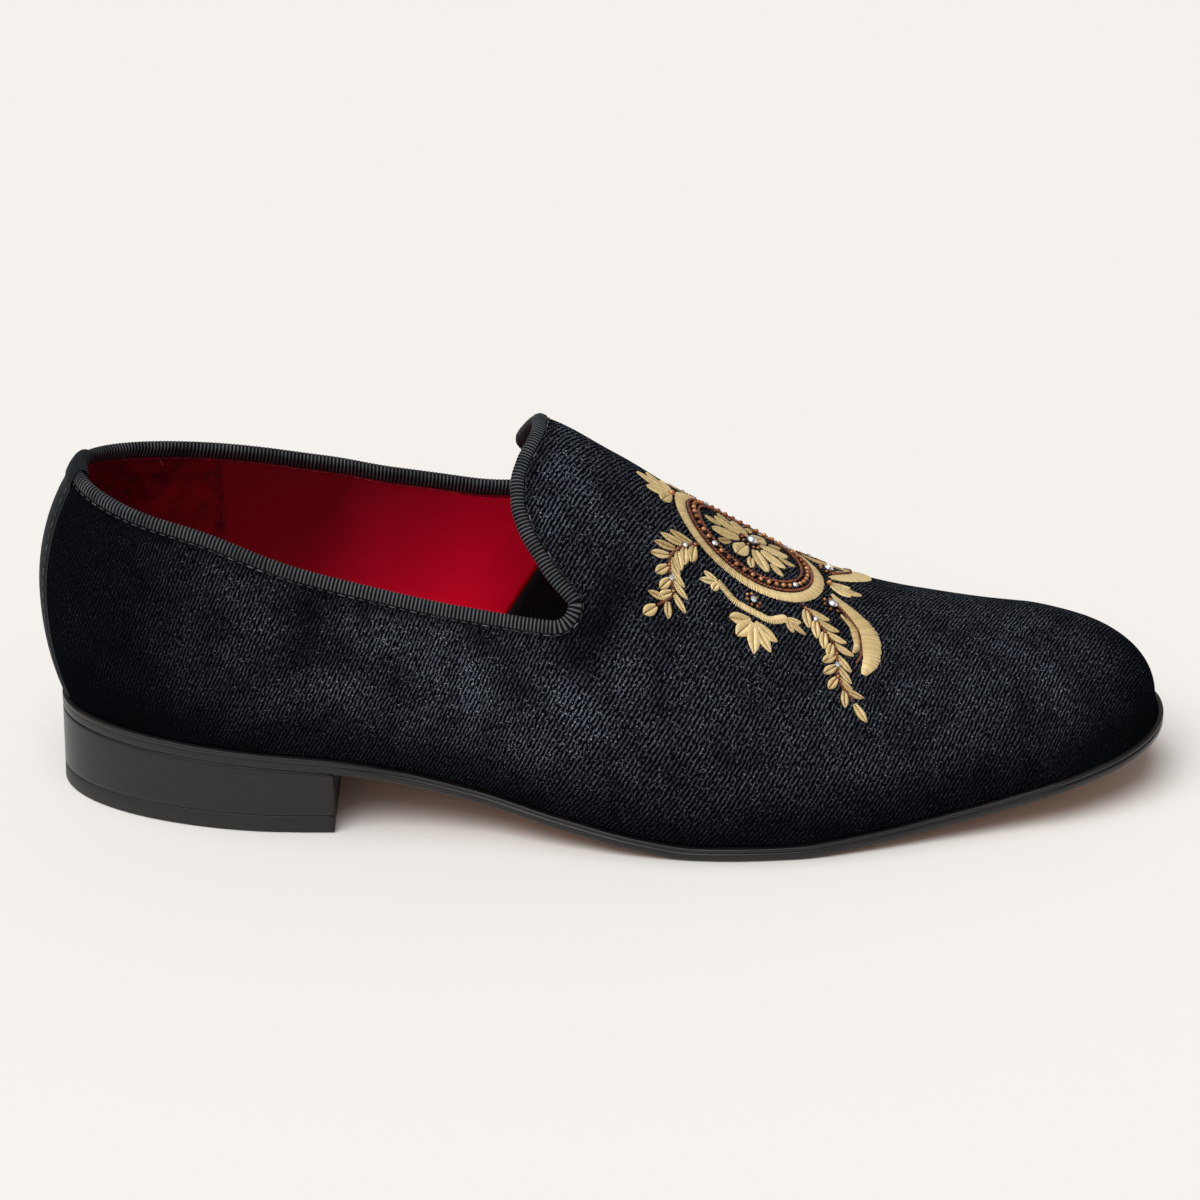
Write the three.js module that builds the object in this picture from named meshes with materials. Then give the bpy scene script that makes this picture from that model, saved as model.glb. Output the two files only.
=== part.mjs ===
// A man's velvet slipper-loafer, the right shoe of a pair, about EU 43.
// Millimetres, +Z up, +X towards the toe. The outer side of the foot is -Y, the inner side +Y.
// The origin is the middle of the heel's wearing face, on the floor.
import * as THREE from "three";
import { mergeVertices } from "three/addons/utils/BufferGeometryUtils.js";

// Driving dimensions
const SOLE_LENGTH = 297; // back of the heel to the tip of the outsole
const BALL_WIDTH = 100; // outsole at the ball of the foot
const HEEL_LENGTH = 74.5; // back of the heel to its breast
const HEEL_RISE = 22; // floor to the outsole's underside at the back
const TOE_SPRING = 15; // floor to the outsole's underside at the tip
const SOLE_THICKNESS = 3.8;
const LIFT_THICKNESS = 5;
const INSTEP_HEIGHT = 106; // floor to the ridge of the last at the front tab
const BACK_HEIGHT = 92.3; // floor to the top edge of the upper at the back seam
const UPPER_WALL = 1.5; // velvet, interlining and lining together
const INSOLE_THICKNESS = 3;
const NOTCH_PLACE = 137.4; // back of the heel to the front of the two side notches
const NOTCH_RADIUS = 5;
const TAB_REACH = 15; // how far the lobes of the tab reach back past the notches
const BINDING_WIDTH = 2.7; // seen on the outside
const BINDING_TURN = 2.2; // folded over to the inside
const BINDING_THICKNESS = 0.5;
const STRIP_WIDTH = 17; // plain tape on the back seam
const STRIP_TURN = 9; // folded over to the inside
const STRIP_THICKNESS = 0.7;
const SEAT_GAP = 0.3; // between pieces that are glued or sewn together

// Smaller forms
const FEATHER_INSET = 1.3; // the upper meets the sole this far inside the sole's edge
const LOWER_CURVE = 2.2; // how fast the upper turns out from the feather edge
const HEEL_CAP = 60; // depth of the outline's round back
const TOE_CAP = 36; // depth of the outline's round front
const HEEL_FAN = 31; // the ribs round the back meet this far in front of it
const TOE_FAN = 36; // the ribs round the toe meet this far behind the sole's tip
const TOE_ROUND = 2.15; // exponent of the front's curve, 2 is an ellipse
const TOE_SWING = 4; // the tip lies this far to the inner side
const LEAN_LENGTH = 45; // the tab's shape fades out over this length of vamp
const LEAN_FADE = 1.5; // exponent of that fade, over 1 so that it ends softly
const TOE_BAND = 1.35; // where bandH's line meets the tip of the toe
const EDGE_ROUND = 0.9; // on the outsole's lower edge
const BEAD_START = 0.74; // the bead's underside, as a share of SOLE_THICKNESS
const BEAD_END = 0.92;
const GROOVE_WIDTH = 0.16; // as a share of SOLE_THICKNESS
const GROOVE_DEPTH = 0.5; // under the bead on the outsole's side
const GROOVE_FADE = 16; // the groove and the round edge run out over this length at the heel
const HEEL_FLARE = 0.6; // the wearing face stands out this far past the heel's top
const LIFT_ROUND = 0.2; // on the top lift's lower edge
const FOLD_FLAT = 0.35; // half the flat top of the binding's fold, as a share of UPPER_WALL
const STRIP_EASE = 0.6; // the strip comes down to the velvet this far below the binding
const STRIP_STEP = 1.6; // and takes this length to do it
const STRIP_CORNER = 1.2; // how much further than its faces the strip's fold stands off
const STRIP_FOOT = 0.05; // h of the strip's lower end

const BACK = -HEEL_LENGTH / 2; // x of the heel's back
const STRAIGHT_BACK = BACK + HEEL_CAP;
const STRAIGHT_FRONT = BACK + SOLE_LENGTH - TOE_CAP;
const STRAIGHT = STRAIGHT_FRONT - STRAIGHT_BACK;

// Turns a table of rows into a smooth curve for each named column. A curve never overshoots
// its rows, and it is level where two rows are equal.
function table(names, rows) {
  const at = rows.map((row) => row[0]);
  const curves = {};
  names.slice(1).forEach((name, k) => {
    const value = rows.map((row) => row[k + 1]);
    const rise = value.slice(1).map((v, i) => (v - value[i]) / (at[i + 1] - at[i]));
    const slope = value.map((v, i) => {
      if (i === 0) return rise[0];
      if (i === value.length - 1) return rise[i - 1];
      if (rise[i - 1] * rise[i] <= 0) return 0;
      return (2 * rise[i - 1] * rise[i]) / (rise[i - 1] + rise[i]);
    });
    curves[name] = (x) => {
      const u = THREE.MathUtils.clamp(x, at[0], at[at.length - 1]);
      const i = Math.min(at.length - 2, at.filter((a) => a <= u).length - 1);
      const step = at[i + 1] - at[i];
      const t = (u - at[i]) / step;
      return (
        value[i] * (1 + 2 * t) * (1 - t) ** 2 +
        slope[i] * step * t * (1 - t) ** 2 +
        value[i + 1] * t * t * (3 - 2 * t) +
        slope[i + 1] * step * t * t * (t - 1)
      );
    };
  });
  return curves;
}

// The outsole's outline: half widths from the long axis, as shares of BALL_WIDTH.
const OUTLINE = table(
  ["at", "outer", "inner"],
  [
    [0.0, 0.306, 0.306],
    [0.1, 0.316, 0.316],
    [0.24, 0.332, 0.318],
    [0.3, 0.328, 0.288],
    [0.37, 0.352, 0.276],
    [0.45, 0.42, 0.336],
    [0.53, 0.474, 0.432],
    [0.6, 0.49, 0.492],
    [0.66, 0.479, 0.513],
    [0.72, 0.442, 0.508],
    [0.78, 0.392, 0.473],
    [0.84, 0.342, 0.425],
    [0.89, 0.301, 0.383],
    [0.94, 0.267, 0.346],
    [1.0, 0.252, 0.316],
  ],
);

// The outsole's underside: its height is heel * HEEL_RISE + toe * TOE_SPRING.
const UNDERSIDE = table(
  ["at", "heel", "toe"],
  [
    [0.0, 1.0, 0.0],
    [0.24, 0.8, 0.0],
    [0.3, 0.66, 0.0],
    [0.37, 0.473, 0.0],
    [0.45, 0.25, 0.0],
    [0.52, 0.08, 0.0],
    [0.57, 0.0, 0.0],
    [0.65, 0.0, 0.0],
    [0.71, 0.0, 0.08],
    [0.78, 0.0, 0.23],
    [0.84, 0.0, 0.4],
    [0.89, 0.0, 0.57],
    [0.94, 0.0, 0.74],
    [1.0, 0.0, 1.0],
  ],
);

// The last's sections. outer, inner: how far the widest point stands out past the sole's edge,
// and ridge: how far the ridge lies to the inner side, as shares of BALL_WIDTH.
// swell: height of the widest point over the feather edge, and roof: height of the ridge over
// the floor, as shares of INSTEP_HEIGHT. round: exponent of the section, 2 is an ellipse.
const SECTION = table(
  ["at", "outer", "inner", "ridge", "swell", "roof", "round"],
  [
    [0.0, 0.034, 0.034, 0.0, 0.283, 1.0, 1.92],
    [0.1, 0.034, 0.034, 0.0, 0.27, 1.0, 2.0],
    [0.24, 0.03, 0.035, 0.01, 0.235, 1.0, 2.0],
    [0.35, 0.042, 0.055, 0.035, 0.2, 0.99, 2.0],
    [0.43, 0.038, 0.06, 0.05, 0.17, 0.963, 2.0],
    [0.5, 0.029, 0.05, 0.05, 0.15, 0.856, 1.92],
    [0.57, 0.02, 0.032, 0.05, 0.13, 0.719, 1.88],
    [0.64, 0.014, 0.016, 0.048, 0.12, 0.593, 1.88],
    [0.71, 0.008, 0.008, 0.045, 0.11, 0.489, 1.92],
    [0.78, 0.0, 0.0, 0.042, 0.1, 0.437, 2.0],
    [0.86, -0.01, -0.008, 0.04, 0.08, 0.412, 2.08],
    [0.93, -0.02, -0.019, 0.04, 0.055, 0.408, 2.12],
    [1.0, -0.026, -0.026, 0.04, 0.035, 0.395, 2.15],
  ],
);

// The collar's top edge from the back to the notches, as shares of BACK_HEIGHT.
const TOPLINE = table(
  ["at", "outer", "inner"],
  [
    [0.0, 1.0, 1.0],
    [0.07, 0.96, 0.958],
    [0.14, 0.918, 0.923],
    [0.23, 0.822, 0.872],
    [0.34, 0.737, 0.818],
    [0.4, 0.711, 0.79],
    [0.47, 0.695, 0.774],
  ],
);

// The tab's edge from a notch, 0, to the ridge, 1: how far it lies behind the notch, as
// shares of TAB_REACH.
const TAB_EDGE = table(
  ["at", "outer", "inner"],
  [
    [0.0, 0.0, 0.0],
    [0.03, 0.19, 0.28],
    [0.06, 0.36, 0.53],
    [0.1, 0.51, 0.79],
    [0.135, 0.61, 0.905],
    [0.2, 0.79, 0.965],
    [0.275, 0.92, 0.92],
    [0.35, 0.985, 0.85],
    [0.46, 1.0, 0.755],
    [0.62, 0.9, 0.645],
    [0.76, 0.75, 0.605],
    [0.9, 0.65, 0.61],
    [1.0, 0.63, 0.63],
  ],
);

const shareAt = (x) => (x - BACK) / SOLE_LENGTH;
const sideName = (side) => (side < 0 ? "outer" : "inner");
const fade = (x, from, length) => THREE.MathUtils.smoothstep(x, from, from + length);

function soleUnderside(x) {
  const at = shareAt(x);
  return UNDERSIDE.heel(at) * HEEL_RISE + UNDERSIDE.toe(at) * TOE_SPRING;
}

const soleTop = (x) => soleUnderside(x) + SOLE_THICKNESS;

// A place on the outline is q: -1 to 0 round the heel, 0 to 1 along the side, 1 to 2 round the
// toe. side is -1 for the outer side and 1 for the inner one.
const placeOfX = (x) => (x - STRAIGHT_BACK) / STRAIGHT;

function outlinePoint(side, q) {
  const bend = Math.PI / 2;
  let x = STRAIGHT_BACK + STRAIGHT * q;
  let width = 1;
  let tip = 0;
  if (q < 0) {
    x = STRAIGHT_BACK - HEEL_CAP * Math.cos((1 + q) * bend);
    width = Math.sin((1 + q) * bend);
  }
  if (q > 1) {
    x = STRAIGHT_FRONT + TOE_CAP * Math.sin((q - 1) * bend) ** (2 / TOE_ROUND);
    width = Math.max(0, Math.cos((q - 1) * bend)) ** (2 / TOE_ROUND);
    tip = TOE_SWING;
  }
  const full = side * OUTLINE[sideName(side)](shareAt(x)) * BALL_WIDTH;
  return new THREE.Vector2(x, tip + (full - tip) * width);
}

// The point on the last's ridge that the rib with this foot on the outline runs up to.
function ridgePoint(foot) {
  const x = THREE.MathUtils.clamp(foot.x, BACK + HEEL_FAN, BACK + SOLE_LENGTH - TOE_FAN);
  return new THREE.Vector2(x, SECTION.ridge(shareAt(x)) * BALL_WIDTH);
}

// The upper's skin. h runs from 0 at the feather edge to 1 at the widest point and 2 at the
// ridge. inset moves the whole skin inwards, for the lining side of the wall.
function skin(side, q, h, inset = 0) {
  const foot = outlinePoint(side, q);
  const pole = ridgePoint(foot);
  const out = foot.clone().sub(pole);
  const reach = out.length();
  out.divideScalar(reach);
  const at = shareAt(foot.x);
  const widest = reach + SECTION[sideName(side)](at) * BALL_WIDTH - inset;
  const feather = reach - FEATHER_INSET - inset;
  const low = soleTop(pole.x + out.x * feather) + SEAT_GAP;
  const swell = low + SECTION.swell(at) * INSTEP_HEIGHT;
  if (h <= 1) {
    const r = widest - (widest - feather) * (1 - h) ** LOWER_CURVE;
    return new THREE.Vector3(pole.x + out.x * r, pole.y + out.y * r, low + (swell - low) * h);
  }
  const angle = ((h - 1) * Math.PI) / 2;
  const power = 2 / SECTION.round(at);
  const r = widest * Math.max(0, Math.cos(angle)) ** power;
  const x = pole.x + out.x * r;
  const roof = SECTION.roof(shareAt(x)) * INSTEP_HEIGHT - inset;
  return new THREE.Vector3(x, pole.y + out.y * r, swell + (roof - swell) * Math.sin(angle) ** power);
}

// h of the collar's top edge on the rib at q, with the round corner into the notch.
function toplineH(side, q) {
  const foot = outlinePoint(side, q);
  const intoCorner = Math.max(0, foot.x - (BACK + NOTCH_PLACE - NOTCH_RADIUS));
  const corner = NOTCH_RADIUS - Math.sqrt(Math.max(0, NOTCH_RADIUS ** 2 - intoCorner ** 2));
  const height = TOPLINE[sideName(side)](shareAt(foot.x)) * BACK_HEIGHT + corner;
  const swell = skin(side, q, 1).z;
  const roof = SECTION.roof(shareAt(foot.x)) * INSTEP_HEIGHT;
  const share = ((height - swell) / (roof - swell)) ** (SECTION.round(shareAt(foot.x)) / 2);
  return 1 + Math.asin(share) / (Math.PI / 2);
}

const NOTCH_Q = placeOfX(BACK + NOTCH_PLACE);

// h of the line that runs level with a notch along the vamp and meets the other side's at the
// tip of the toe.
function bandH(side, q) {
  const forward = THREE.MathUtils.smoothstep(q, NOTCH_Q, 1);
  return THREE.MathUtils.lerp(toplineH(side, NOTCH_Q), TOE_BAND, forward);
}

// A point of the roof over that line: up runs from 0 on the line to 1 on the ridge. Near the
// tab the ribs lean with its edge, less and less towards the toe.
function roofPlace(side, q, up) {
  const left = Math.max(0, 1 - ((q - NOTCH_Q) * STRAIGHT) / LEAN_LENGTH);
  const lean = TAB_EDGE[sideName(side)](up) * TAB_REACH * left ** LEAN_FADE;
  const band = bandH(side, q);
  return { side, q: q - lean / STRAIGHT, h: band + (2 - band) * up };
}

const skinAt = ({ side, q, h }, inset = 0) => skin(side, q, h, inset);

// Collects triangles from grids of points and closes them into one geometry.
class Surface {
  constructor() {
    this.numbers = [];
  }

  triangle(a, b, c) {
    for (const p of [a, b, c]) this.numbers.push(p.x, p.y, p.z);
  }

  // grid is a list of columns of points. Its faces look along column direction x row direction.
  grid(columns, flip = false) {
    for (let i = 0; i + 1 < columns.length; i++) {
      for (let j = 0; j + 1 < columns[i].length; j++) {
        const quad = [columns[i][j], columns[i + 1][j], columns[i + 1][j + 1], columns[i][j + 1]];
        if (flip) quad.reverse();
        this.triangle(quad[0], quad[1], quad[2]);
        this.triangle(quad[0], quad[2], quad[3]);
      }
    }
  }

  // Rings of points, first to last, with a lid of cross strips on both ends. Each ring goes
  // out along one side and back along the other, so its points lie in pairs across the shoe.
  prism(rings) {
    const closed = rings.map((ring) => [...ring, ring[0]]);
    this.grid(closed[0].map((point, i) => closed.map((ring) => ring[i])));
    [rings[0], rings[rings.length - 1]].forEach((ring, end) => {
      const pairs = steps(0, Math.floor(ring.length / 2), Math.floor(ring.length / 2)).map((i) => [
        ring[i],
        ring[(ring.length - i) % ring.length],
      ]);
      this.grid(pairs, end === 0);
    });
  }

  geometry() {
    const raw = new THREE.BufferGeometry();
    raw.setAttribute("position", new THREE.Float32BufferAttribute(this.numbers, 3));
    const merged = mergeVertices(raw, 1e-4);
    const old = merged.index.array;
    const kept = [];
    for (let i = 0; i < old.length; i += 3) {
      const [a, b, c] = [old[i], old[i + 1], old[i + 2]];
      if (a !== b && b !== c && c !== a) kept.push(a, b, c);
    }
    merged.setIndex(kept);
    merged.computeVertexNormals();
    return merged;
  }
}

const steps = (from, to, count) =>
  Array.from({ length: count + 1 }, (unused, i) => from + ((to - from) * i) / count);

// The ribs, as places q: round the heel, along the quarter, round the notch, along the vamp
// and round the toe.
const CORNER_START = placeOfX(BACK + NOTCH_PLACE - NOTCH_RADIUS);
const HEEL_RIBS = steps(-1, 0, 12);
const QUARTER_RIBS = steps(0, CORNER_START, 8).slice(1);
const CORNER_RIBS = steps(0, Math.PI / 2, 4)
  .slice(1)
  .map((turn) => CORNER_START + (NOTCH_RADIUS * Math.sin(turn)) / STRAIGHT);
const COLLAR_RIBS = [...HEEL_RIBS, ...QUARTER_RIBS, ...CORNER_RIBS];
const UNDER_BINDING = NOTCH_Q + BINDING_WIDTH / STRAIGHT;
const VAMP_RIBS = [NOTCH_Q, ...steps(UNDER_BINDING, 1, 14), ...steps(1, 2, 9).slice(1)];
const LOWER_ROWS = [0, 0.12, 0.28, 0.5, 0.75, 1];
const WAIST_ROWS = 5; // rows from the widest point to the top edge or the level of the notch
const LOBE_ROWS = 11; // rows from the level of the notch to the ridge

// The upper: velvet outside and lining inside, joined along the top edge and the feather edge.
function upper() {
  const surface = new Surface();
  for (const side of [-1, 1]) {
    const flip = side > 0;
    const rib = (q, top, inset) =>
      [...LOWER_ROWS, ...steps(1, top, WAIST_ROWS).slice(1)].map((h) => skin(side, q, h, inset));
    const walls = [0, UPPER_WALL].map((inset) => ({
      collar: COLLAR_RIBS.map((q) => rib(q, toplineH(side, q), inset)),
      vamp: VAMP_RIBS.map((q) => rib(q, bandH(side, q), inset)),
      roof: VAMP_RIBS.map((q) =>
        steps(0, 1, LOBE_ROWS).map((up) => skinAt(roofPlace(side, q, up), inset)),
      ),
    }));
    const [outside, inside] = walls;
    for (const name of ["collar", "vamp", "roof"]) {
      surface.grid(outside[name], flip);
      surface.grid(inside[name], !flip);
    }
    const last = outside.collar[0].length - 1;
    surface.grid(outside.collar.map((column, i) => [column[last], inside.collar[i][last]]), flip);
    surface.grid(outside.roof[0].map((point, j) => [point, inside.roof[0][j]]), flip);
    for (const name of ["collar", "vamp"]) {
      surface.grid(outside[name].map((column, i) => [column[0], inside[name][i][0]]), !flip);
    }
  }
  return surface.geometry();
}

// Where the skin is reached from (q, h) by moving along it by the vector step.
function slide(side, q, h, step, inset) {
  const small = 1e-4;
  const here = skin(side, q, h, inset);
  const alongQ = skin(side, q + small, h, inset).sub(here).divideScalar(small);
  const alongH = skin(side, q, h - small, inset).sub(here).divideScalar(-small);
  const qq = alongQ.dot(alongQ);
  const qh = alongQ.dot(alongH);
  const hh = alongH.dot(alongH);
  const q1 = alongQ.dot(step);
  const h1 = alongH.dot(step);
  const size = qq * hh - qh * qh;
  return skin(side, q + (q1 * hh - h1 * qh) / size, h + (h1 * qq - q1 * qh) / size, inset);
}

// The whole top edge as places on the skin: outer collar, outer lobe, inner lobe, inner collar.
function topEdge() {
  const edgeOfSide = (side) => {
    const collar = COLLAR_RIBS.map((q) => ({ side, q, h: toplineH(side, q) }));
    const lobe = steps(0, 1, LOBE_ROWS).map((up) => roofPlace(side, NOTCH_Q, up));
    return [...collar, ...lobe.slice(1)];
  };
  const inner = edgeOfSide(1).reverse();
  return [...edgeOfSide(-1), ...inner.slice(1, -1)];
}

// For each place on the top edge: the two corners of the wall there, the direction out of the
// wall, and the direction away from the upper.
function edgeFrames(places) {
  const outer = places.map(({ side, q, h }) => skin(side, q, h));
  const inner = places.map(({ side, q, h }) => skin(side, q, h, UPPER_WALL));
  return places.map((place, i) => {
    const next = outer[(i + 1) % outer.length];
    const before = outer[(i + outer.length - 1) % outer.length];
    const along = next.clone().sub(before).normalize();
    const out = outer[i].clone().sub(inner[i]).normalize();
    const away = out.clone().cross(along).normalize();
    return { ...place, outer: outer[i], inner: inner[i], out, away };
  });
}

const shifted = (point, out, outBy, away, awayBy) =>
  point.clone().addScaledVector(out, outBy).addScaledVector(away, awayBy);

// The binding: ribbed tape folded over the top edge of collar and tab.
function collarBinding() {
  const full = SEAT_GAP + BINDING_THICKNESS;
  const crown = FOLD_FLAT * UPPER_WALL;
  const columns = edgeFrames(topEdge()).map(({ side, q, h, outer, inner, out, away }) => {
    const middle = outer.clone().lerp(inner, 0.5);
    const outerLeg = slide(side, q, h, away.clone().multiplyScalar(-BINDING_WIDTH), 0);
    const innerLeg = slide(side, q, h, away.clone().multiplyScalar(-BINDING_TURN), UPPER_WALL);
    return [
      shifted(outerLeg, out, full, away, 0),
      shifted(outer, out, full, away, 0),
      shifted(middle, out, crown, away, full),
      shifted(middle, out, -crown, away, full),
      shifted(inner, out, -full, away, 0),
      shifted(innerLeg, out, -full, away, 0),
      shifted(innerLeg, out, -SEAT_GAP, away, 0),
      shifted(inner, out, -SEAT_GAP, away, SEAT_GAP),
      shifted(outer, out, SEAT_GAP, away, SEAT_GAP),
      shifted(outerLeg, out, SEAT_GAP, away, 0),
    ];
  });
  const surface = new Surface();
  const closed = [...columns, columns[0]].map((column) => [...column, column[0]]);
  surface.grid(closed);
  return surface.geometry();
}

// The back strip: plain tape up the back seam, over the binding and down inside.
function backStrip() {
  const over = SEAT_GAP + BINDING_THICKNESS + SEAT_GAP; // clears the binding
  const halfQ = Math.asin(STRIP_WIDTH / 2 / (OUTLINE.outer(0) * BALL_WIDTH)) / (Math.PI / 2);
  const places = [
    { side: 1, q: halfQ - 1 },
    { side: 1, q: halfQ / 2 - 1 },
    { side: -1, q: -1 },
    { side: -1, q: halfQ / 2 - 1 },
    { side: -1, q: halfQ - 1 },
  ].map(({ side, q }) => ({ side, q, h: toplineH(side, q) }));
  const columns = places.map(({ side, q, h }) => {
    const outer = skin(side, q, h);
    const inner = skin(side, q, h, UPPER_WALL);
    const perRow = outer.distanceTo(skin(side, q, h - 0.1)) / 0.1; // length of skin for one h
    const foot = outlinePoint(side, q);
    const radial = foot.clone().sub(ridgePoint(foot)).normalize();
    const flat = new THREE.Vector3(radial.x, radial.y, 0);
    const outAt = (row) => {
      const rise = skin(side, q, row + 1e-3).sub(skin(side, q, row - 1e-3)).normalize();
      const across = new THREE.Vector3(-flat.y, flat.x, 0);
      return across.cross(rise).normalize();
    };
    const out = outAt(h - 1e-3);
    const away = skin(side, q, h).sub(skin(side, q, h - 0.01)).normalize();
    const underBinding = h - (BINDING_WIDTH + STRIP_EASE) / perRow;
    const belowBinding = underBinding - STRIP_STEP / perRow;
    const node = (row, inset, gap) => {
      const direction = outAt(row).multiplyScalar(inset ? -1 : 1);
      return { point: skin(side, q, row, inset), direction, gap };
    };
    const corner = (point, sign) => ({
      point,
      direction: out.clone().multiplyScalar(sign).add(away).normalize(),
      gap: over * STRIP_CORNER,
    });
    const path = [
      ...[STRIP_FOOT, ...LOWER_ROWS.slice(1)].map((row) => node(row, 0, SEAT_GAP)),
      ...steps(1, belowBinding, WAIST_ROWS).slice(1).map((row) => node(row, 0, SEAT_GAP)),
      node(underBinding, 0, over),
      { point: outer, direction: out, gap: over },
      corner(outer, 1),
      corner(inner, -1),
      { point: inner, direction: out.clone().negate(), gap: over },
      node(h - (BINDING_TURN + STRIP_EASE) / perRow, UPPER_WALL, over),
      node(h - (BINDING_TURN + STRIP_EASE + STRIP_STEP) / perRow, UPPER_WALL, SEAT_GAP),
      node(h - STRIP_TURN / perRow, UPPER_WALL, SEAT_GAP),
    ];
    const face = (extra) => path.map((n) => n.point.clone().addScaledVector(n.direction, n.gap + extra));
    return [...face(STRIP_THICKNESS), ...face(0).reverse()];
  });
  const surface = new Surface();
  surface.grid(columns.map((column) => [...column, column[0]]));
  const half = columns[0].length / 2;
  [columns[0], columns[columns.length - 1]].forEach((column, end) => {
    const pairs = steps(0, half - 1, half - 1).map((i) => [column[i], column[column.length - 1 - i]]);
    surface.grid(pairs, end === 1);
  });
  return surface.geometry();
}

// The outline's point at q moved inwards by inset.
function insetPoint(side, q, inset) {
  const point = outlinePoint(side, q);
  const small = 1e-4;
  let normal = new THREE.Vector2(q <= -1 ? -1 : 1, 0);
  if (q > -1 && q < 2) {
    const along = outlinePoint(side, q + small).sub(outlinePoint(side, q - small)).normalize();
    normal = new THREE.Vector2(-along.y * side, along.x * side);
  }
  return point.addScaledVector(normal, -inset);
}

// One ring round the outline, out along the outer side and back along the inner side.
// pointAt gives the 3D point for a side and a place.
function ring(places, pointAt, closedFront) {
  const outer = places.map((q) => pointAt(-1, q));
  const inner = places.map((q) => pointAt(1, q)).reverse();
  return [...outer, ...inner.slice(closedFront ? 1 : 0, -1)];
}

const SOLE_PLACES = [...steps(-1, 0, 12), ...steps(0, 1, 26).slice(1), ...steps(1, 2, 10).slice(1)];

// The outsole: shank arch, flat tread at the ball and toe spring, with a round lower edge and
// a bead along its upper edge in front of the heel.
function outsole() {
  const breast = BACK + HEEL_LENGTH;
  const roundMiddle = EDGE_ROUND * (1 - Math.SQRT1_2);
  const profile = [
    { level: 0, inset: EDGE_ROUND },
    { level: roundMiddle, inset: roundMiddle },
    { level: EDGE_ROUND, inset: 0 },
    { level: (BEAD_START - GROOVE_WIDTH) * SOLE_THICKNESS, inset: 0 },
    { level: (BEAD_START - GROOVE_WIDTH / 2) * SOLE_THICKNESS, inset: GROOVE_DEPTH },
    { level: BEAD_START * SOLE_THICKNESS, inset: 0 },
    { level: BEAD_END * SOLE_THICKNESS, inset: 0 },
    { level: SOLE_THICKNESS, inset: 0.5 * GROOVE_DEPTH },
  ];
  const rings = profile.map(({ level, inset }) =>
    ring(
      SOLE_PLACES,
      (side, q) => {
        const shaped = inset * fade(outlinePoint(side, q).x, breast, GROOVE_FADE);
        const point = insetPoint(side, q, shaped);
        return new THREE.Vector3(point.x, point.y, soleUnderside(point.x) + level);
      },
      true,
    ),
  );
  const surface = new Surface();
  surface.prism(rings);
  return surface.geometry();
}

// The sock: a footbed that fills the shoe from wall to wall on the outsole.
function insole() {
  const clear = UPPER_WALL + SEAT_GAP;
  const rings = [0, 0.5 * INSOLE_THICKNESS, INSOLE_THICKNESS].map((level) =>
    ring(
      SOLE_PLACES,
      (side, q) => {
        const low = skin(side, q, 0, clear);
        const swell = skin(side, q, 1, clear).z - low.z;
        const point = skin(side, q, level / swell, clear);
        return new THREE.Vector3(point.x, point.y, soleTop(point.x) + SEAT_GAP + level);
      },
      true,
    ),
  );
  const surface = new Surface();
  surface.prism(rings);
  return surface.geometry();
}

// A block under the heel seat, from the floor side up, cut off straight at the breast.
function heelBlock(low, high) {
  const breast = placeOfX(BACK + HEEL_LENGTH);
  const places = [...steps(-1, 0, 12), ...steps(0, breast, 2).slice(1)];
  const rings = [low, high].map(({ heightAt, inset }) =>
    ring(
      places,
      (side, q) => {
        const point = insetPoint(side, q, inset);
        return new THREE.Vector3(point.x, point.y, heightAt(point.x));
      },
      false,
    ),
  );
  const surface = new Surface();
  surface.prism(rings);
  return surface.geometry();
}

const heelStack = () =>
  heelBlock(
    { heightAt: () => LIFT_THICKNESS + SEAT_GAP, inset: -HEEL_FLARE },
    { heightAt: (x) => soleUnderside(x) - SEAT_GAP, inset: 0 },
  );

const heelTopLift = () =>
  heelBlock(
    { heightAt: () => 0, inset: LIFT_ROUND - HEEL_FLARE },
    { heightAt: () => LIFT_THICKNESS, inset: -HEEL_FLARE },
  );

const velvet = new THREE.MeshStandardMaterial({ color: 0x141a28, roughness: 0.9 });
const ribbon = new THREE.MeshStandardMaterial({ color: 0x1d1e20, roughness: 0.7 });
const tape = new THREE.MeshStandardMaterial({ color: 0x15171a, roughness: 0.85 });
const redLeather = new THREE.MeshStandardMaterial({ color: 0x9c0a1c, roughness: 0.5 });
const blackEdge = new THREE.MeshStandardMaterial({ color: 0x2e2c2c, roughness: 0.4 });
const blackRubber = new THREE.MeshStandardMaterial({ color: 0x232323, roughness: 0.6 });

const shoe = new THREE.Group();

function add(name, geometry, material) {
  const mesh = new THREE.Mesh(geometry, material);
  mesh.name = name;
  shoe.add(mesh);
}

add("upper", upper(), velvet);
add("collar_binding", collarBinding(), ribbon);
add("back_strip", backStrip(), tape);
add("insole", insole(), redLeather);
add("outsole", outsole(), blackEdge);
add("heel_stack", heelStack(), blackEdge);
add("heel_top_lift", heelTopLift(), blackRubber);

export default shoe;
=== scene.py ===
# %% [markdown]
# # An embroidered velvet slipper-loafer
# A man's right shoe, about EU 43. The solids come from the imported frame, and this lesson
# dresses them: velvet, ribbed binding, red lining, gold embroidery, waxed sole and heel.
# Every piece is built from the same forms as the solids, in millimetres, and only the last
# step of each turns it into metres for Blender.

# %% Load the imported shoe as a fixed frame
import math

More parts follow.
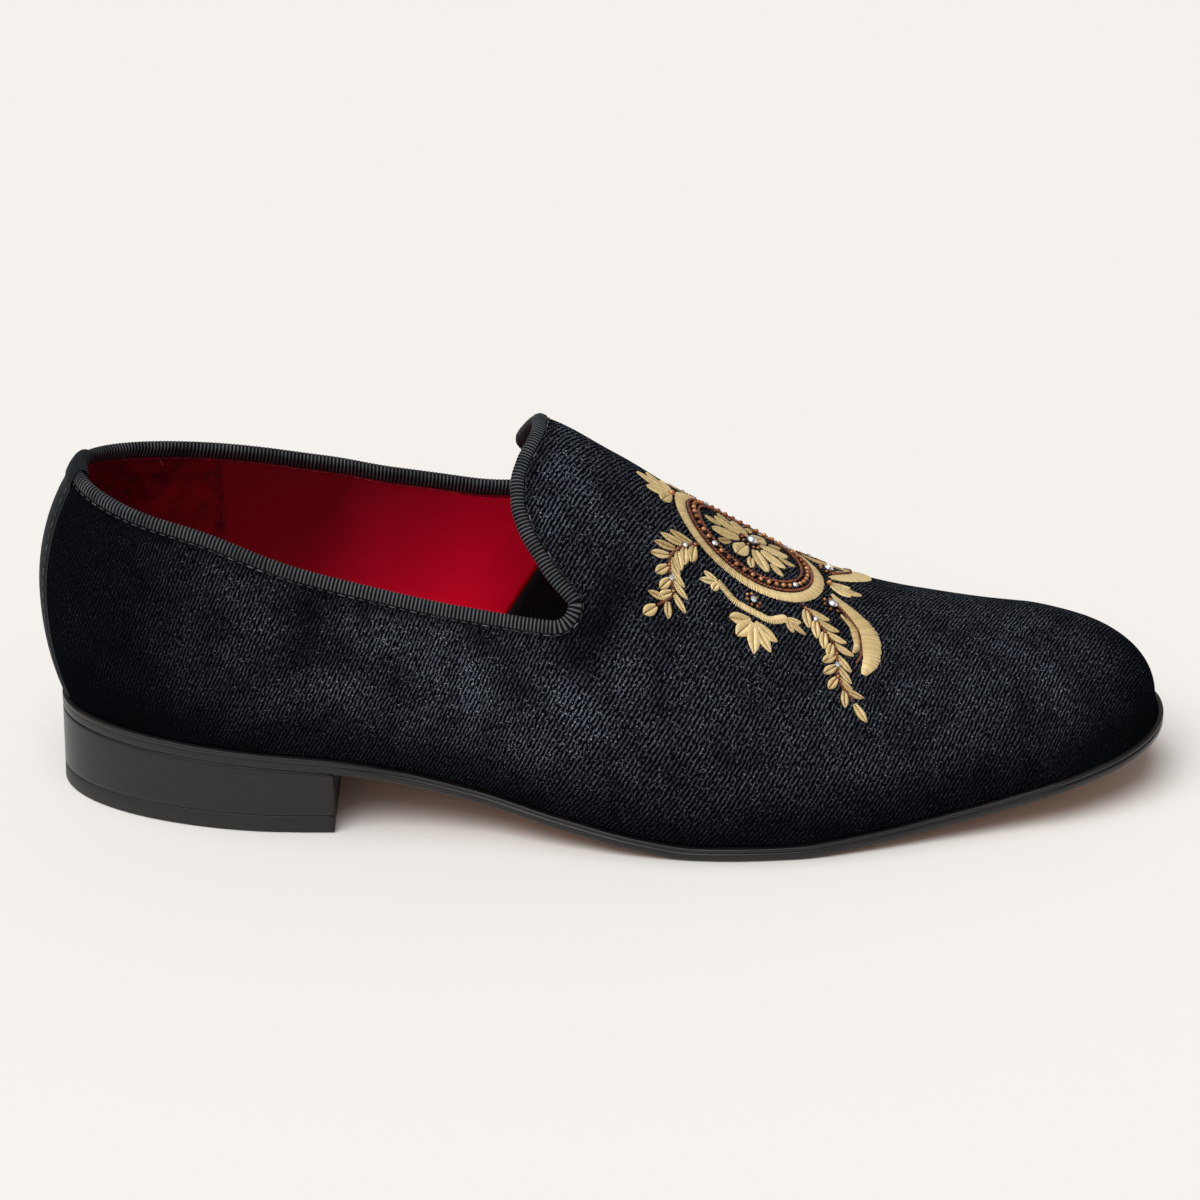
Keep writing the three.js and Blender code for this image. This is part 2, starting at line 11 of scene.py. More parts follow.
import bmesh
import bpy
import numpy as np
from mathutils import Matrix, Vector


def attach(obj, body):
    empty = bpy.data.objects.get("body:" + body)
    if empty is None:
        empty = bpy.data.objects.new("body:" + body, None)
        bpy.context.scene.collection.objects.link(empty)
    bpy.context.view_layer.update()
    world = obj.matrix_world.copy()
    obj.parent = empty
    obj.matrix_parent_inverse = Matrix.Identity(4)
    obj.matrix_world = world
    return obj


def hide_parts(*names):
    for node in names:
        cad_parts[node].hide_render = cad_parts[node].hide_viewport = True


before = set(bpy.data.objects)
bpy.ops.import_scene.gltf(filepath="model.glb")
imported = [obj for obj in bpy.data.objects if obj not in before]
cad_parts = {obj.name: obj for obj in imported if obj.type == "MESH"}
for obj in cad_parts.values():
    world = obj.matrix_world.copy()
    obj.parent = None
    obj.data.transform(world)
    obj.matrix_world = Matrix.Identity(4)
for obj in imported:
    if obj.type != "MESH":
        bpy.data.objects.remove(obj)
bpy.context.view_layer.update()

print("solids:", ", ".join(sorted(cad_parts)))

# %% [markdown]
# ## The last, as a few short tables
# A shoemaker shapes a shoe over a last, and describes the last by its outline and by sections
# across it. The tables say the same in shares of the main sizes: where along the sole a row
# lies, and what the form measures there. A smooth curve through each column, which never
# overshoots its rows, gives every place in between. One could sculpt the upper by hand
# instead, but then the linings, the binding and the embroidery could not follow it exactly.

# %% Main sizes in millimetres
SOLE_LENGTH = 297.0
BALL_WIDTH = 100.0
HEEL_LENGTH = 74.5
HEEL_RISE = 22.0
TOE_SPRING = 15.0
SOLE_THICKNESS = 3.8
LIFT_THICKNESS = 5.0
INSTEP_HEIGHT = 106.0
BACK_HEIGHT = 92.3
UPPER_WALL = 1.5
NOTCH_PLACE = 137.4
NOTCH_RADIUS = 5.0
TAB_REACH = 15.0
BINDING_WIDTH = 2.7
BINDING_TURN = 2.2
STRIP_WIDTH = 17.0
STRIP_TURN = 9.0
FEATHER_INSET = 1.3
LOWER_CURVE = 2.2
HEEL_CAP = 60.0
TOE_CAP = 36.0
HEEL_FAN = 31.0
TOE_FAN = 36.0
TOE_ROUND = 2.15
TOE_SWING = 4.0
LEAN_LENGTH = 45.0
LEAN_FADE = 1.5
TOE_BAND = 1.35
SEAT_GAP = 0.3
HEEL_FLARE = 0.6

BACK = -HEEL_LENGTH / 2
STRAIGHT_BACK = BACK + HEEL_CAP
STRAIGHT_FRONT = BACK + SOLE_LENGTH - TOE_CAP
STRAIGHT = STRAIGHT_FRONT - STRAIGHT_BACK
OUTER, INNER = -1, 1  # the two sides of the foot: -Y and +Y

# %% Smooth curves through the tables
def columns(rows):
    """Turns rows of (place, value, value...) into one smooth curve for each value column."""
    rows = np.array(rows, float)
    return [smooth_curve(rows[:, 0], rows[:, k]) for k in range(1, rows.shape[1])]


def smooth_curve(at, value):
    rise = np.diff(value) / np.diff(at)
    slope = np.concatenate([rise[:1], np.zeros(len(rise) - 1), rise[-1:]])
    for i in range(1, len(rise)):
        if rise[i - 1] * rise[i] > 0:
            slope[i] = 2 * rise[i - 1] * rise[i] / (rise[i - 1] + rise[i])

    def curve(place):
        u = np.clip(place, at[0], at[-1])
        i = np.clip(np.searchsorted(at, u, side="right") - 1, 0, len(at) - 2)
        step = at[i + 1] - at[i]
        t = (u - at[i]) / step
        return (
            value[i] * (1 + 2 * t) * (1 - t) ** 2
            + slope[i] * step * t * (1 - t) ** 2
            + value[i + 1] * t * t * (3 - 2 * t)
            + slope[i + 1] * step * t * t * (t - 1)
        )

    return curve


# place, outer half width, inner half width: the outsole's outline, in shares of BALL_WIDTH
outer_half, inner_half = columns([
    (0.0, 0.306, 0.306),
    (0.1, 0.316, 0.316),
    (0.24, 0.332, 0.318),
    (0.3, 0.328, 0.288),
    (0.37, 0.352, 0.276),
    (0.45, 0.42, 0.336),
    (0.53, 0.474, 0.432),
    (0.6, 0.49, 0.492),
    (0.66, 0.479, 0.513),
    (0.72, 0.442, 0.508),
    (0.78, 0.392, 0.473),
    (0.84, 0.342, 0.425),
    (0.89, 0.301, 0.383),
    (0.94, 0.267, 0.346),
    (1.0, 0.252, 0.316),
])
HALF_WIDTH = {OUTER: outer_half, INNER: inner_half}

# place, share of HEEL_RISE, share of TOE_SPRING: how high the sole's underside lies
heel_part, toe_part = columns([
    (0.0, 1.0, 0.0),
    (0.24, 0.8, 0.0),
    (0.3, 0.66, 0.0),
    (0.37, 0.473, 0.0),
    (0.45, 0.25, 0.0),
    (0.52, 0.08, 0.0),
    (0.57, 0.0, 0.0),
    (0.65, 0.0, 0.0),
    (0.71, 0.0, 0.08),
    (0.78, 0.0, 0.23),
    (0.84, 0.0, 0.4),
    (0.89, 0.0, 0.57),
    (0.94, 0.0, 0.74),
    (1.0, 0.0, 1.0),
])

# place, outer and inner bulge past the sole, ridge's shift, height of the widest point,
# height of the ridge, exponent of the section
outer_bulge, inner_bulge, ridge_shift, swell_part, roof_part, section_round = columns([
    (0.0, 0.034, 0.034, 0.0, 0.283, 1.0, 1.92),
    (0.1, 0.034, 0.034, 0.0, 0.27, 1.0, 2.0),
    (0.24, 0.03, 0.035, 0.01, 0.235, 1.0, 2.0),
    (0.35, 0.042, 0.055, 0.035, 0.2, 0.99, 2.0),
    (0.43, 0.038, 0.06, 0.05, 0.17, 0.963, 2.0),
    (0.5, 0.029, 0.05, 0.05, 0.15, 0.856, 1.92),
    (0.57, 0.02, 0.032, 0.05, 0.13, 0.719, 1.88),
    (0.64, 0.014, 0.016, 0.048, 0.12, 0.593, 1.88),
    (0.71, 0.008, 0.008, 0.045, 0.11, 0.489, 1.92),
    (0.78, 0.0, 0.0, 0.042, 0.1, 0.437, 2.0),
    (0.86, -0.01, -0.008, 0.04, 0.08, 0.412, 2.08),
    (0.93, -0.02, -0.019, 0.04, 0.055, 0.408, 2.12),
    (1.0, -0.026, -0.026, 0.04, 0.035, 0.395, 2.15),
])
BULGE = {OUTER: outer_bulge, INNER: inner_bulge}

# place, outer and inner height of the collar's edge, in shares of BACK_HEIGHT
outer_top, inner_top = columns([
    (0.0, 1.0, 1.0),
    (0.07, 0.96, 0.958),
    (0.14, 0.918, 0.923),
    (0.23, 0.822, 0.872),
    (0.34, 0.737, 0.818),
    (0.4, 0.711, 0.79),
    (0.47, 0.695, 0.774),
])
COLLAR_TOP = {OUTER: outer_top, INNER: inner_top}

# from a notch, 0, to the ridge, 1: how far the tab's edge lies behind the notch
outer_tab, inner_tab = columns([
    (0.0, 0.0, 0.0),
    (0.03, 0.19, 0.28),
    (0.06, 0.36, 0.53),
    (0.1, 0.51, 0.79),
    (0.135, 0.61, 0.905),
    (0.2, 0.79, 0.965),
    (0.275, 0.92, 0.92),
    (0.35, 0.985, 0.85),
    (0.46, 1.0, 0.755),
    (0.62, 0.9, 0.645),
    (0.76, 0.75, 0.605),
    (0.9, 0.65, 0.61),
    (1.0, 0.63, 0.63),
])
TAB_BACK = {OUTER: outer_tab, INNER: inner_tab}


def share(x):
    return (x - BACK) / SOLE_LENGTH


def place_of(x):
    return (x - STRAIGHT_BACK) / STRAIGHT


def sole_under(x):
    return heel_part(share(x)) * HEEL_RISE + toe_part(share(x)) * TOE_SPRING


def sole_top(x):
    return sole_under(x) + SOLE_THICKNESS


def soft_step(x, start, end):
    t = np.clip((x - start) / (end - start), 0, 1)
    return t * t * (3 - 2 * t)


print("underside at heel and toe:", float(sole_under(BACK)), float(sole_under(BACK + SOLE_LENGTH)))

# %% [markdown]
# ## The skin of the last
# A place on the upper is (side, q, h). q runs round the sole's edge: -1 at the back of the
# heel, 0 to 1 along the side, 2 at the tip. h climbs a rib: 0 at the sole, 1 at the widest
# point, 2 on the ridge. One function gives the point for any place, so velvet, lining, tape
# and thread all lie on the same form, each a little further in or out.

# %% Outline and skin
def outline(side, q):
    """x and y of the sole's edge at q."""
    q = np.asarray(q, float)
    bend = math.pi / 2
    turn = np.clip(q - 1, 0, 1) * bend
    x_back = STRAIGHT_BACK - HEEL_CAP * np.cos((1 + q) * bend)
    x_front = STRAIGHT_FRONT + TOE_CAP * np.sin(turn) ** (2 / TOE_ROUND)
    x = np.where(q < 0, x_back, np.where(q > 1, x_front, STRAIGHT_BACK + STRAIGHT * q))
    round_front = np.maximum(0, np.cos(turn)) ** (2 / TOE_ROUND)
    width = np.where(q < 0, np.sin((1 + q) * bend), np.where(q > 1, round_front, 1.0))
    tip = np.where(q > 1, TOE_SWING, 0.0)
    full = side * HALF_WIDTH[side](share(x)) * BALL_WIDTH
    return x, tip + (full - tip) * width


def skin(side, q, h, inset=0.0):
    """Points of the last's skin, or of a skin that lies inset millimetres further in."""
    q, h = np.broadcast_arrays(np.asarray(q, float), np.asarray(h, float))
    foot_x, foot_y = outline(side, q)
    pole_x = np.clip(foot_x, BACK + HEEL_FAN, BACK + SOLE_LENGTH - TOE_FAN)
    pole_y = ridge_shift(share(pole_x)) * BALL_WIDTH
    reach = np.hypot(foot_x - pole_x, foot_y - pole_y)
    out_x, out_y = (foot_x - pole_x) / reach, (foot_y - pole_y) / reach
    at = share(foot_x)
    widest = reach + BULGE[side](at) * BALL_WIDTH - inset
    feather = reach - FEATHER_INSET - inset
    low = sole_top(pole_x + out_x * feather) + SEAT_GAP
    swell = low + swell_part(at) * INSTEP_HEIGHT
    angle = np.clip(h - 1, 0, 1) * math.pi / 2
    power = 2 / section_round(at)
    r_low = widest - (widest - feather) * np.clip(1 - h, 0, 1) ** LOWER_CURVE
    r_high = widest * np.maximum(0, np.cos(angle)) ** power
    r = np.where(h <= 1, r_low, r_high)
    x = pole_x + out_x * r
    roof = roof_part(share(x)) * INSTEP_HEIGHT - inset
    z_high = swell + (roof - swell) * np.sin(angle) ** power
    z = np.where(h <= 1, low + (swell - low) * h, z_high)
    return np.stack([x, pole_y + out_y * r, z], axis=-1)


def skin_normal(side, q, h, inset=0.0):
    """Unit vectors out of the skin."""
    small = 2e-3
    q, h = np.broadcast_arrays(np.asarray(q, float), np.asarray(h, float))
    h = np.clip(h, small, 1.975)
    q = np.clip(q, -2, 2 - small)
    along = skin(side, q + small, h, inset) - skin(side, q - small, h, inset)
    rise = skin(side, q, h + small, inset) - skin(side, q, h - small, inset)
    out = np.cross(along, rise) * -side
    return out / np.linalg.norm(out, axis=-1, keepdims=True)


# %% The top edge and the tab
def collar_h(side, q):
    """h of the collar's edge on the rib at q, with the round corner into the notch."""
    x, _ = outline(side, q)
    into = np.maximum(0, x - (BACK + NOTCH_PLACE - NOTCH_RADIUS))
    corner = NOTCH_RADIUS - np.sqrt(np.maximum(0, NOTCH_RADIUS**2 - into**2))
    height = COLLAR_TOP[side](share(x)) * BACK_HEIGHT + corner
    swell = skin(side, q, 1.0)[..., 2]
    roof = roof_part(share(x)) * INSTEP_HEIGHT
    part = ((height - swell) / (roof - swell)) ** (section_round(share(x)) / 2)
    return 1 + np.arcsin(part) / (math.pi / 2)


NOTCH_Q = place_of(BACK + NOTCH_PLACE)


def band_h(side, q):
    """h of the line from a notch along the vamp to the tip of the toe."""
    forward = soft_step(q, NOTCH_Q, 1.0)
    return collar_h(side, NOTCH_Q) * (1 - forward) + TOE_BAND * forward


def roof_place(side, q, up):
    """(q, h) over that line, up from 0 to 1 on the ridge, leaning with the tab's edge."""
    left = np.maximum(0, 1 - (q - NOTCH_Q) * STRAIGHT / LEAN_LENGTH)
    lean = TAB_BACK[side](up) * TAB_REACH * left**LEAN_FADE
    band = band_h(side, q)
    return q - lean / STRAIGHT, band + (2 - band) * up


print("notch at q =", round(NOTCH_Q, 3), "h =", round(float(collar_h(OUTER, NOTCH_Q)), 3))

# %% [markdown]
# ## Creases of a worn-in fabric upper
# Velvet glued to a thin interlining never lies quite flat: it ripples under the collar, dents
# beside the notch where the tab begins, and waves a little over the joint of the toes. A cloth
# simulation would put such dents anywhere, so they are listed here one by one, each as a soft
# trough or ridge along a short line, in the shoe's own millimetres.

# %% Soft troughs and ridges
# from, to, width, height (below zero for a trough)
CREASES = [
    ((101, -46, 55), (118, -38, 67), 4.6, -1.15),
    ((109, -46, 51), (126, -38, 61), 5.0, 0.55),
    ((29, -38, 52), (31, -34, 68), 2.6, -0.55),
    ((34, -39, 50), (36, -34, 66), 2.6, 0.4),
    ((40, -40, 48), (42, -35, 64), 2.8, -0.5),
    ((51, -41, 46), (52, -37, 60), 3.4, 0.35),
    ((66, -43, 40), (70, -40, 55), 4.0, -0.45),
    ((77, -45, 38), (84, -42, 52), 5.0, 0.4),
    ((104, 48, 44), (118, 40, 62), 5.0, -0.9),
    ((112, 48, 40), (126, 40, 58), 5.0, 0.45),
    ((32, 35, 56), (34, 33, 72), 3.0, -0.45),
    ((52, 38, 52), (54, 36, 68), 3.5, 0.35),
    ((152, -40, 34), (158, -26, 46), 6.0, -0.4),
    ((165, -38, 30), (170, -24, 40), 6.0, 0.3),
    ((154, 44, 32), (160, 32, 42), 6.0, -0.4),
]


def crease_height(points):
    """How far the velvet stands off the last at these points, in millimetres."""
    height = np.zeros(points.shape[:-1])
    for start, end, width, peak in CREASES:
        start, end = np.array(start, float), np.array(end, float)
        line = end - start
        t = np.clip((points - start) @ line / (line @ line), 0, 1)
        gap = np.linalg.norm(points - (start + t[..., None] * line), axis=-1)
        height += peak * np.exp(-((gap / width) ** 2))
    return height


def velvet_point(side, q, h, stand_off=0.0):
    """A point on the creased velvet, or stand_off millimetres over it."""
    flat = skin(side, q, h)
    raised = crease_height(flat) + stand_off
    return flat + skin_normal(side, q, h) * raised[..., None]


print("creases:", len(CREASES))

# %% [markdown]
# ## The top edge as one path
# The collar and the tab share one edge that runs all round the opening. The binding is folded
# over it, stitches follow it and a painted shadow darkens the velvet beside it, so the path is
# worked out once: its points on both faces of the wall, and which way is along, out and away.

# %% Ribs round the collar
HEEL_Q = np.linspace(-1, 0, 60)
CORNER_Q = place_of(BACK + NOTCH_PLACE - NOTCH_RADIUS)
turns = np.linspace(0, math.pi / 2, 13)[1:]
COLLAR_Q = np.concatenate([
    HEEL_Q,
    np.linspace(0, CORNER_Q, 60)[1:],
    CORNER_Q + NOTCH_RADIUS * np.sin(turns) / STRAIGHT,
])

# %% The path of the top edge
def slide(side, q, h, step, inset):
    """The skin's point reached from (q, h) by moving along it by the vectors step."""
    small = 1e-4
    here = skin(side, q, h, inset)
    along_q = (skin(side, q + small, h, inset) - here) / small
    along_h = (here - skin(side, q, h - small, inset)) / small
    dot = lambda a, b: (a * b).sum(-1)
    qq, qh, hh = dot(along_q, along_q), dot(along_q, along_h), dot(along_h, along_h)
    q1, h1 = dot(along_q, step), dot(along_h, step)
    size = qq * hh - qh * qh
    return skin(side, q + (q1 * hh - h1 * qh) / size, h + (h1 * qq - q1 * qh) / size, inset)


def unit(vectors):
    return vectors / np.linalg.norm(vectors, axis=-1, keepdims=True)


def edge_places():
    """Side, q and h all round: outer collar, outer lobe, inner lobe, inner collar."""
    halves = []
    for side in (OUTER, INNER):
        lobe_q, lobe_h = roof_place(side, NOTCH_Q, np.linspace(0, 1, 70)[1:])
        q = np.concatenate([COLLAR_Q, lobe_q])
        h = np.concatenate([collar_h(side, COLLAR_Q), lobe_h])
        halves.append(np.stack([np.full(len(q), side), q, h], 1))
    return np.concatenate([halves[0], halves[1][::-1][1:-1]])


def by_side(places, make):
    """Runs make(side, q, h, rows) for each side's places and puts the results together."""
    result = np.zeros((len(places), 3))
    for side in (OUTER, INNER):
        rows = places[:, 0] == side
        result[rows] = make(side, places[rows, 1], places[rows, 2], rows)
    return result


edge = edge_places()
edge_outer = by_side(edge, lambda side, q, h, rows: skin(side, q, h))
edge_inner = by_side(edge, lambda side, q, h, rows: skin(side, q, h, UPPER_WALL))
edge_along = unit(np.roll(edge_outer, -1, 0) - np.roll(edge_outer, 1, 0))
edge_out = unit(edge_outer - edge_inner)
edge_away = unit(np.cross(edge_out, edge_along))
edge_lift = edge_out * crease_height(edge_outer)[:, None]
edge_length = np.linalg.norm(np.diff(edge_outer, axis=0, append=edge_outer[:1]), axis=1)
print("top edge:", round(float(edge_length.sum())), "mm round")


def down_the_wall(distance, inset=0.0):
    """Points that lie this far below the top edge on the wall's outer or inner face."""
    reach = lambda side, q, h, rows: slide(side, q, h, -distance * edge_away[rows], inset)
    return by_side(edge, reach) + edge_lift


# %% [markdown]
# ## From grids of points to meshes
# A piece is made from rectangular grids: columns of points, neighbours joined by quads. A
# sculpted or subdivided mesh would do as well, but a grid keeps the thread direction, which
# the ribs and stitches need. Points that meet are merged, so that light runs smoothly over a
# join.

# %% A collector of grids
class Sheets:
    """Grids of points in millimetres, gathered into one mesh in metres."""

    def __init__(self):
        self.points, self.faces, self.places, self.finish = [], [], [], []
        self.count = 0

    def grid(self, columns_of_points, flip=False, places=None, finish=0):
        """Adds a grid (columns, rows, 3); places are cloth coordinates in mm, then the velvet's painted
        light and shade.
        """
        p = np.asarray(columns_of_points, float)
        n, m = p.shape[:2]
        number = self.count + np.arange(n * m).reshape(n, m)
        quads = np.stack([number[:-1, :-1], number[1:, :-1], number[1:, 1:], number[:-1, 1:]], -1)
        quads = quads.reshape(-1, 4)
        if flip:
            quads = quads[:, ::-1]
        self.points.append(p.reshape(-1, 3))
        self.faces.append(quads)
        self.finish.append(np.full(len(quads), finish))
        cloth = np.zeros((n, m, 3))
        if places is not None:
            cloth[..., : np.shape(places)[-1]] = places
        self.places.append(cloth.reshape(-1, 3))
        self.count += n * m

    def mesh(self, name, *materials, node=None, slot=None, smooth=True, meet=2e-6):
        """Builds the object, puts it on the shoe and hides the solid it stands for, if one is named."""
        points = np.concatenate(self.points) / 1000
        faces = np.concatenate(self.faces)
        places = np.concatenate(self.places)[faces.reshape(-1)]
        data = bpy.data.meshes.new(name)
        data.from_pydata(points.tolist(), [], faces.tolist())
        data.uv_layers.new(name="cloth_mm").data.foreach_set("uv", places[:, :2].reshape(-1))
        # the third place, the velvet's painted light and shade, goes to the layer named nap
        if places[:, 2].any():
            nap = np.stack([places[:, 2], places[:, 2]], 1)
            data.uv_layers.new(name="nap").data.foreach_set("uv", nap.reshape(-1))
        data.polygons.foreach_set("material_index", np.concatenate(self.finish).astype(np.int32))
        for material in materials:
            data.materials.append(material)
        work = bmesh.new()
        work.from_mesh(data)
        bmesh.ops.remove_doubles(work, verts=work.verts, dist=meet)
        bmesh.ops.dissolve_degenerate(work, edges=work.edges, dist=meet)
        for face in work.faces:
            face.smooth = smooth
        work.to_mesh(data)
        work.free()
        piece = bpy.data.objects.new(name, data)
        bpy.context.scene.collection.objects.link(piece)
        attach(piece, "root")
        if node:
            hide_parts(node)
        print(f"{name}: {sum(len(p.vertices) - 2 for p in data.polygons)} triangles")
        return piece


def fine(*parts):
    """Joins evenly spaced runs, each given as (start, end, count), without repeats."""
    runs = [np.linspace(*part) for part in parts]
    return np.concatenate([runs[0]] + [run[1:] for run in runs[1:]])


# %% [markdown]
# ## Colours and nodes
# Paint charts and pickers give colours as sRGB hex values, while light is added up in linear
# values, so one function turns the first into the second. A second small function adds a
# node with its settings and links. The node trees below then read like recipes.

# %% Two helpers for the materials
def colour(hex_text, alpha=1.0):
    values = [int(hex_text[i : i + 2], 16) / 255 for i in (1, 3, 5)]
    linear = [v / 12.92 if v <= 0.04045 else ((v + 0.055) / 1.055) ** 2.4 for v in values]
    return (*linear, alpha)


def node(tree, kind, inputs=None, **settings):
    """Adds a node. An input that is given a socket is linked, any other value is set."""
    made = tree.nodes.new("ShaderNode" + kind)
    for key, value in settings.items():
        setattr(made, key, value)
    for key, value in (inputs or {}).items():
        if isinstance(value, bpy.types.NodeSocket):
            tree.links.new(value, made.inputs[key])
        else:
            made.inputs[key].default_value = value
    return made


def finish(name, **values):
    """A new material with its shader; values are set on the shader's own sockets."""
    material = bpy.data.materials.new(name)
    material.use_nodes = True
    tree = material.node_tree
    tree.nodes.clear()
    shader = node(tree, "BsdfPrincipled", {k.replace("_", " "): v for k, v in values.items()})
    node(tree, "OutputMaterial", {"Surface": shader.outputs["BSDF"]})
    return material, tree, shader


def stops(ramp_node, *pairs):
    """Sets a colour ramp's stops: (position, colour)."""
    ramp = ramp_node.color_ramp
    while len(ramp.elements) > 2:
        ramp.elements.remove(ramp.elements[-1])
    for i, (position, value) in enumerate(pairs):
        stop = ramp.elements[i] if i < 2 else ramp.elements.new(position)
        stop.position, stop.color = position, value
    return ramp_node.outputs["Color"]


BLACK, WHITE = (0, 0, 0, 1), (1, 1, 1, 1)
print("velvet ground as linear light:", [round(v, 4) for v in colour("#0C0F16")[:3]])

# %% [markdown]
# ## Velvet
# Velvet is a pile fabric: short upright threads on a woven ground. It looks black where one
# sees into the pile and blue-grey where the threads lie over and show their sides. The rows of
# pile run slantwise over this shoe, so the colour comes in fine slanting lines, broken into
# dashes, and in soft patches where the nap is crushed. The lines follow the cloth's own
# coordinates, in millimetres from the ridge, so they wrap round the foot as woven rows do; an
# image of velvet would stretch and show its repeats. They are drawn 0.95 mm apart, twice the
# real rows, so that they show at this size.

# %% Velvet, woven pile with a crushed nap
def velvet():
    material, tree, shader = finish("navy_velvet_crushed_pile", Roughness=0.9, IOR=1.45)
    shader.inputs["Specular IOR Level"].default_value = 0.0
    shader.inputs["Sheen Weight"].default_value = 0.012
    shader.inputs["Sheen Roughness"].default_value = 0.35
    shader.inputs["Sheen Tint"].default_value = colour("#98A2B8")
    cloth = node(tree, "UVMap", uv_map="cloth_mm").outputs[0]
    dot = lambda way: node(
        tree, "VectorMath", {0: cloth, 1: way}, operation="DOT_PRODUCT"
    ).outputs["Value"]
    # rows lean 66 degrees forward; a slow wobble keeps them from looking ruled
    wobble = node(tree, "TexNoise", {"Vector": cloth, "Scale": 0.3, "Detail": 2.0})
    bend = node(tree, "Math", {0: wobble.outputs["Fac"], 1: 6.0}, operation="MULTIPLY")
    turn = 2 * math.pi / 0.95
    phase = node(tree, "Math", {0: dot((-0.915 * turn, 0.405 * turn, 0)), 1: bend.outputs[0]})
    row = node(tree, "Math", {0: phase.outputs[0]}, operation="SINE")
    combed = node(tree, "CombineXYZ", {0: dot((0.3, 0.68, 0)), 1: dot((-2.5, 1.11, 0))})
    dashes = node(tree, "TexNoise", {"Vector": combed.outputs[0], "Scale": 1.0, "Detail": 2.0})
    grain = node(
        tree,
        "Math",
        {0: row.outputs[0], 1: 0.17, 2: dashes.outputs["Fac"]},
        operation="MULTIPLY_ADD",
    )
    stroke = stops(node(tree, "ValToRGB", {0: grain.outputs[0]}), (0.5, BLACK), (0.86, WHITE))
    # painted light and shade from the nap layer dims the rows to black, and random crushed patches break
    # them up further
    painted_light_layer = node(tree, "SeparateXYZ", {0: node(tree, "UVMap", uv_map="nap").outputs[0]})
    crush = node(tree, "TexNoise", {"Vector": cloth, "Scale": 0.085, "Detail": 5.0})
    patch = node(
        tree, "MapRange", {"Value": crush.outputs["Fac"], "From Min": 0.3, "From Max": 0.62}
    )
    patch.inputs["To Min"].default_value = 0.35
    nap = node(tree, "Math", {0: painted_light_layer.outputs[0], 1: patch.outputs[0]}, operation="MULTIPLY")
    shown = node(tree, "Math", {0: stroke, 1: nap.outputs[0]}, operation="MULTIPLY")
    pile = node(tree, "Mix", {0: shown.outputs[0]}, data_type="RGBA")
    pile.inputs[6].default_value = colour("#07080B")
    pile.inputs[7].default_value = colour("#676E7B")
    # painted glints: pale specks of 0.5 mm where a cut end faces the eye, dimmed by the painted shade
    dust_and_glints = node(tree, "TexNoise", {"Vector": cloth, "Scale": 1.7, "Detail": 1.0})
    glint_speck = stops(node(tree, "ValToRGB", {0: dust_and_glints.outputs["Fac"]}), (0.66, BLACK), (0.74, WHITE))
    spots = node(tree, "Math", {0: glint_speck, 1: nap.outputs[0]}, operation="MULTIPLY")
    top = node(tree, "Mix", {0: spots.outputs[0], 6: pile.outputs[2]}, data_type="RGBA")
    top.inputs[7].default_value = colour("#A4A9B2")
    tree.links.new(top.outputs[2], shader.inputs["Base Color"])
    bump = node(tree, "Bump", {"Height": grain.outputs[0], "Strength": 0.4, "Distance": 0.0003})
    tree.links.new(bump.outputs[0], shader.inputs["Normal"])
    return material


velvet_material = velvet()
print("velvet nodes:", len(velvet_material.node_tree.nodes))

# %% Painted light and shade on the velvet's nap
# from, to, width, change: painted shade in and beside the creases (below zero), painted light on the lit
# bulges (above zero)
PAINTED_LIGHT_AND_SHADE = [
    ((35, -33, 72), (30, -36, 54), 6.0, -0.75),
    ((41, -36, 54), (54, -38, 47), 5.5, -0.55),
    ((112, -31, 73), (103, -41, 57), 7.5, -0.85),
    ((80, -38, 58), (88, -43, 41), 6.0, -0.5),
    ((55, -37, 50), (95, -43, 47), 11.0, 0.4),
    ((106, -44, 48), (122, -42, 48), 9.0, 0.4),
    ((96, -11, 96), (100, -20, 88), 9.0, 0.3),
    ((36, 33, 74), (32, 36, 56), 6.0, -0.7),
    ((112, 36, 76), (104, 44, 58), 7.5, -0.8),
    ((70, 42, 56), (96, 46, 50), 11.0, 0.35),
]


def painted_nap_light(points):
    """Painted light and shade: 1 where the velvet is painted lit, near 0 where painted shade leaves it
    black.
    """
    x, z = points[..., 0], points[..., 2]
    # painted shade: darker in the lowest 25 mm over the sole, up to a fifth darker ahead of x = 90 mm,
    # nearly black round the back of the heel and much darker at the toe's tip
    nap = 0.16 + 0.84 * soft_step(z - sole_top(x), 2, 25)
    nap = nap * (1 - 0.22 * soft_step(x, 90, 130))
    nap = nap * (0.08 + 0.92 * soft_step(x, -22, 42)) * (1 - 0.75 * soft_step(x, 226, 254))
    for start, end, width, change in PAINTED_LIGHT_AND_SHADE:
        start, end = np.array(start, float), np.array(end, float)
        line = end - start
        t = np.clip((points - start) @ line / (line @ line), 0, 1)
        gap = np.linalg.norm(points - (start + t[..., None] * line), axis=-1)
        nap = nap * (1 + change * np.exp(-((gap / width) ** 2)))
    return nap


QUARTER_Q = np.linspace(-1, 0.3, 200)


def unrolled(side, q, h):
    """Where a point comes to lie when the cloth is unrolled flat from the ridge, in mm."""
    q, h = np.broadcast_arrays(np.asarray(q, float), np.asarray(h, float))
    rib = skin(side, q[..., None], 2 + (h[..., None] - 2) * np.linspace(0, 1, 30))
    girth = np.linalg.norm(np.diff(rib, axis=-2), axis=-1).sum(-1)
    pole = rib[..., 0, :2]
    flat = pole + unit(np.stack(outline(side, q), -1) - pole) * girth[..., None]
    # round the heel the cloth keeps upright and is unrolled along the widest line instead
    line = skin(side, QUARTER_Q, 1.0)
    far = np.concatenate([[0], np.cumsum(np.linalg.norm(np.diff(line, axis=0), axis=1))])
    round_heel = line[-1, 0] - far[-1] + np.interp(q, QUARTER_Q, far)
    quarter = np.stack([round_heel, pole[..., 1] + side * girth], -1)
    return np.where((q < QUARTER_Q[-1])[..., None], quarter, flat)


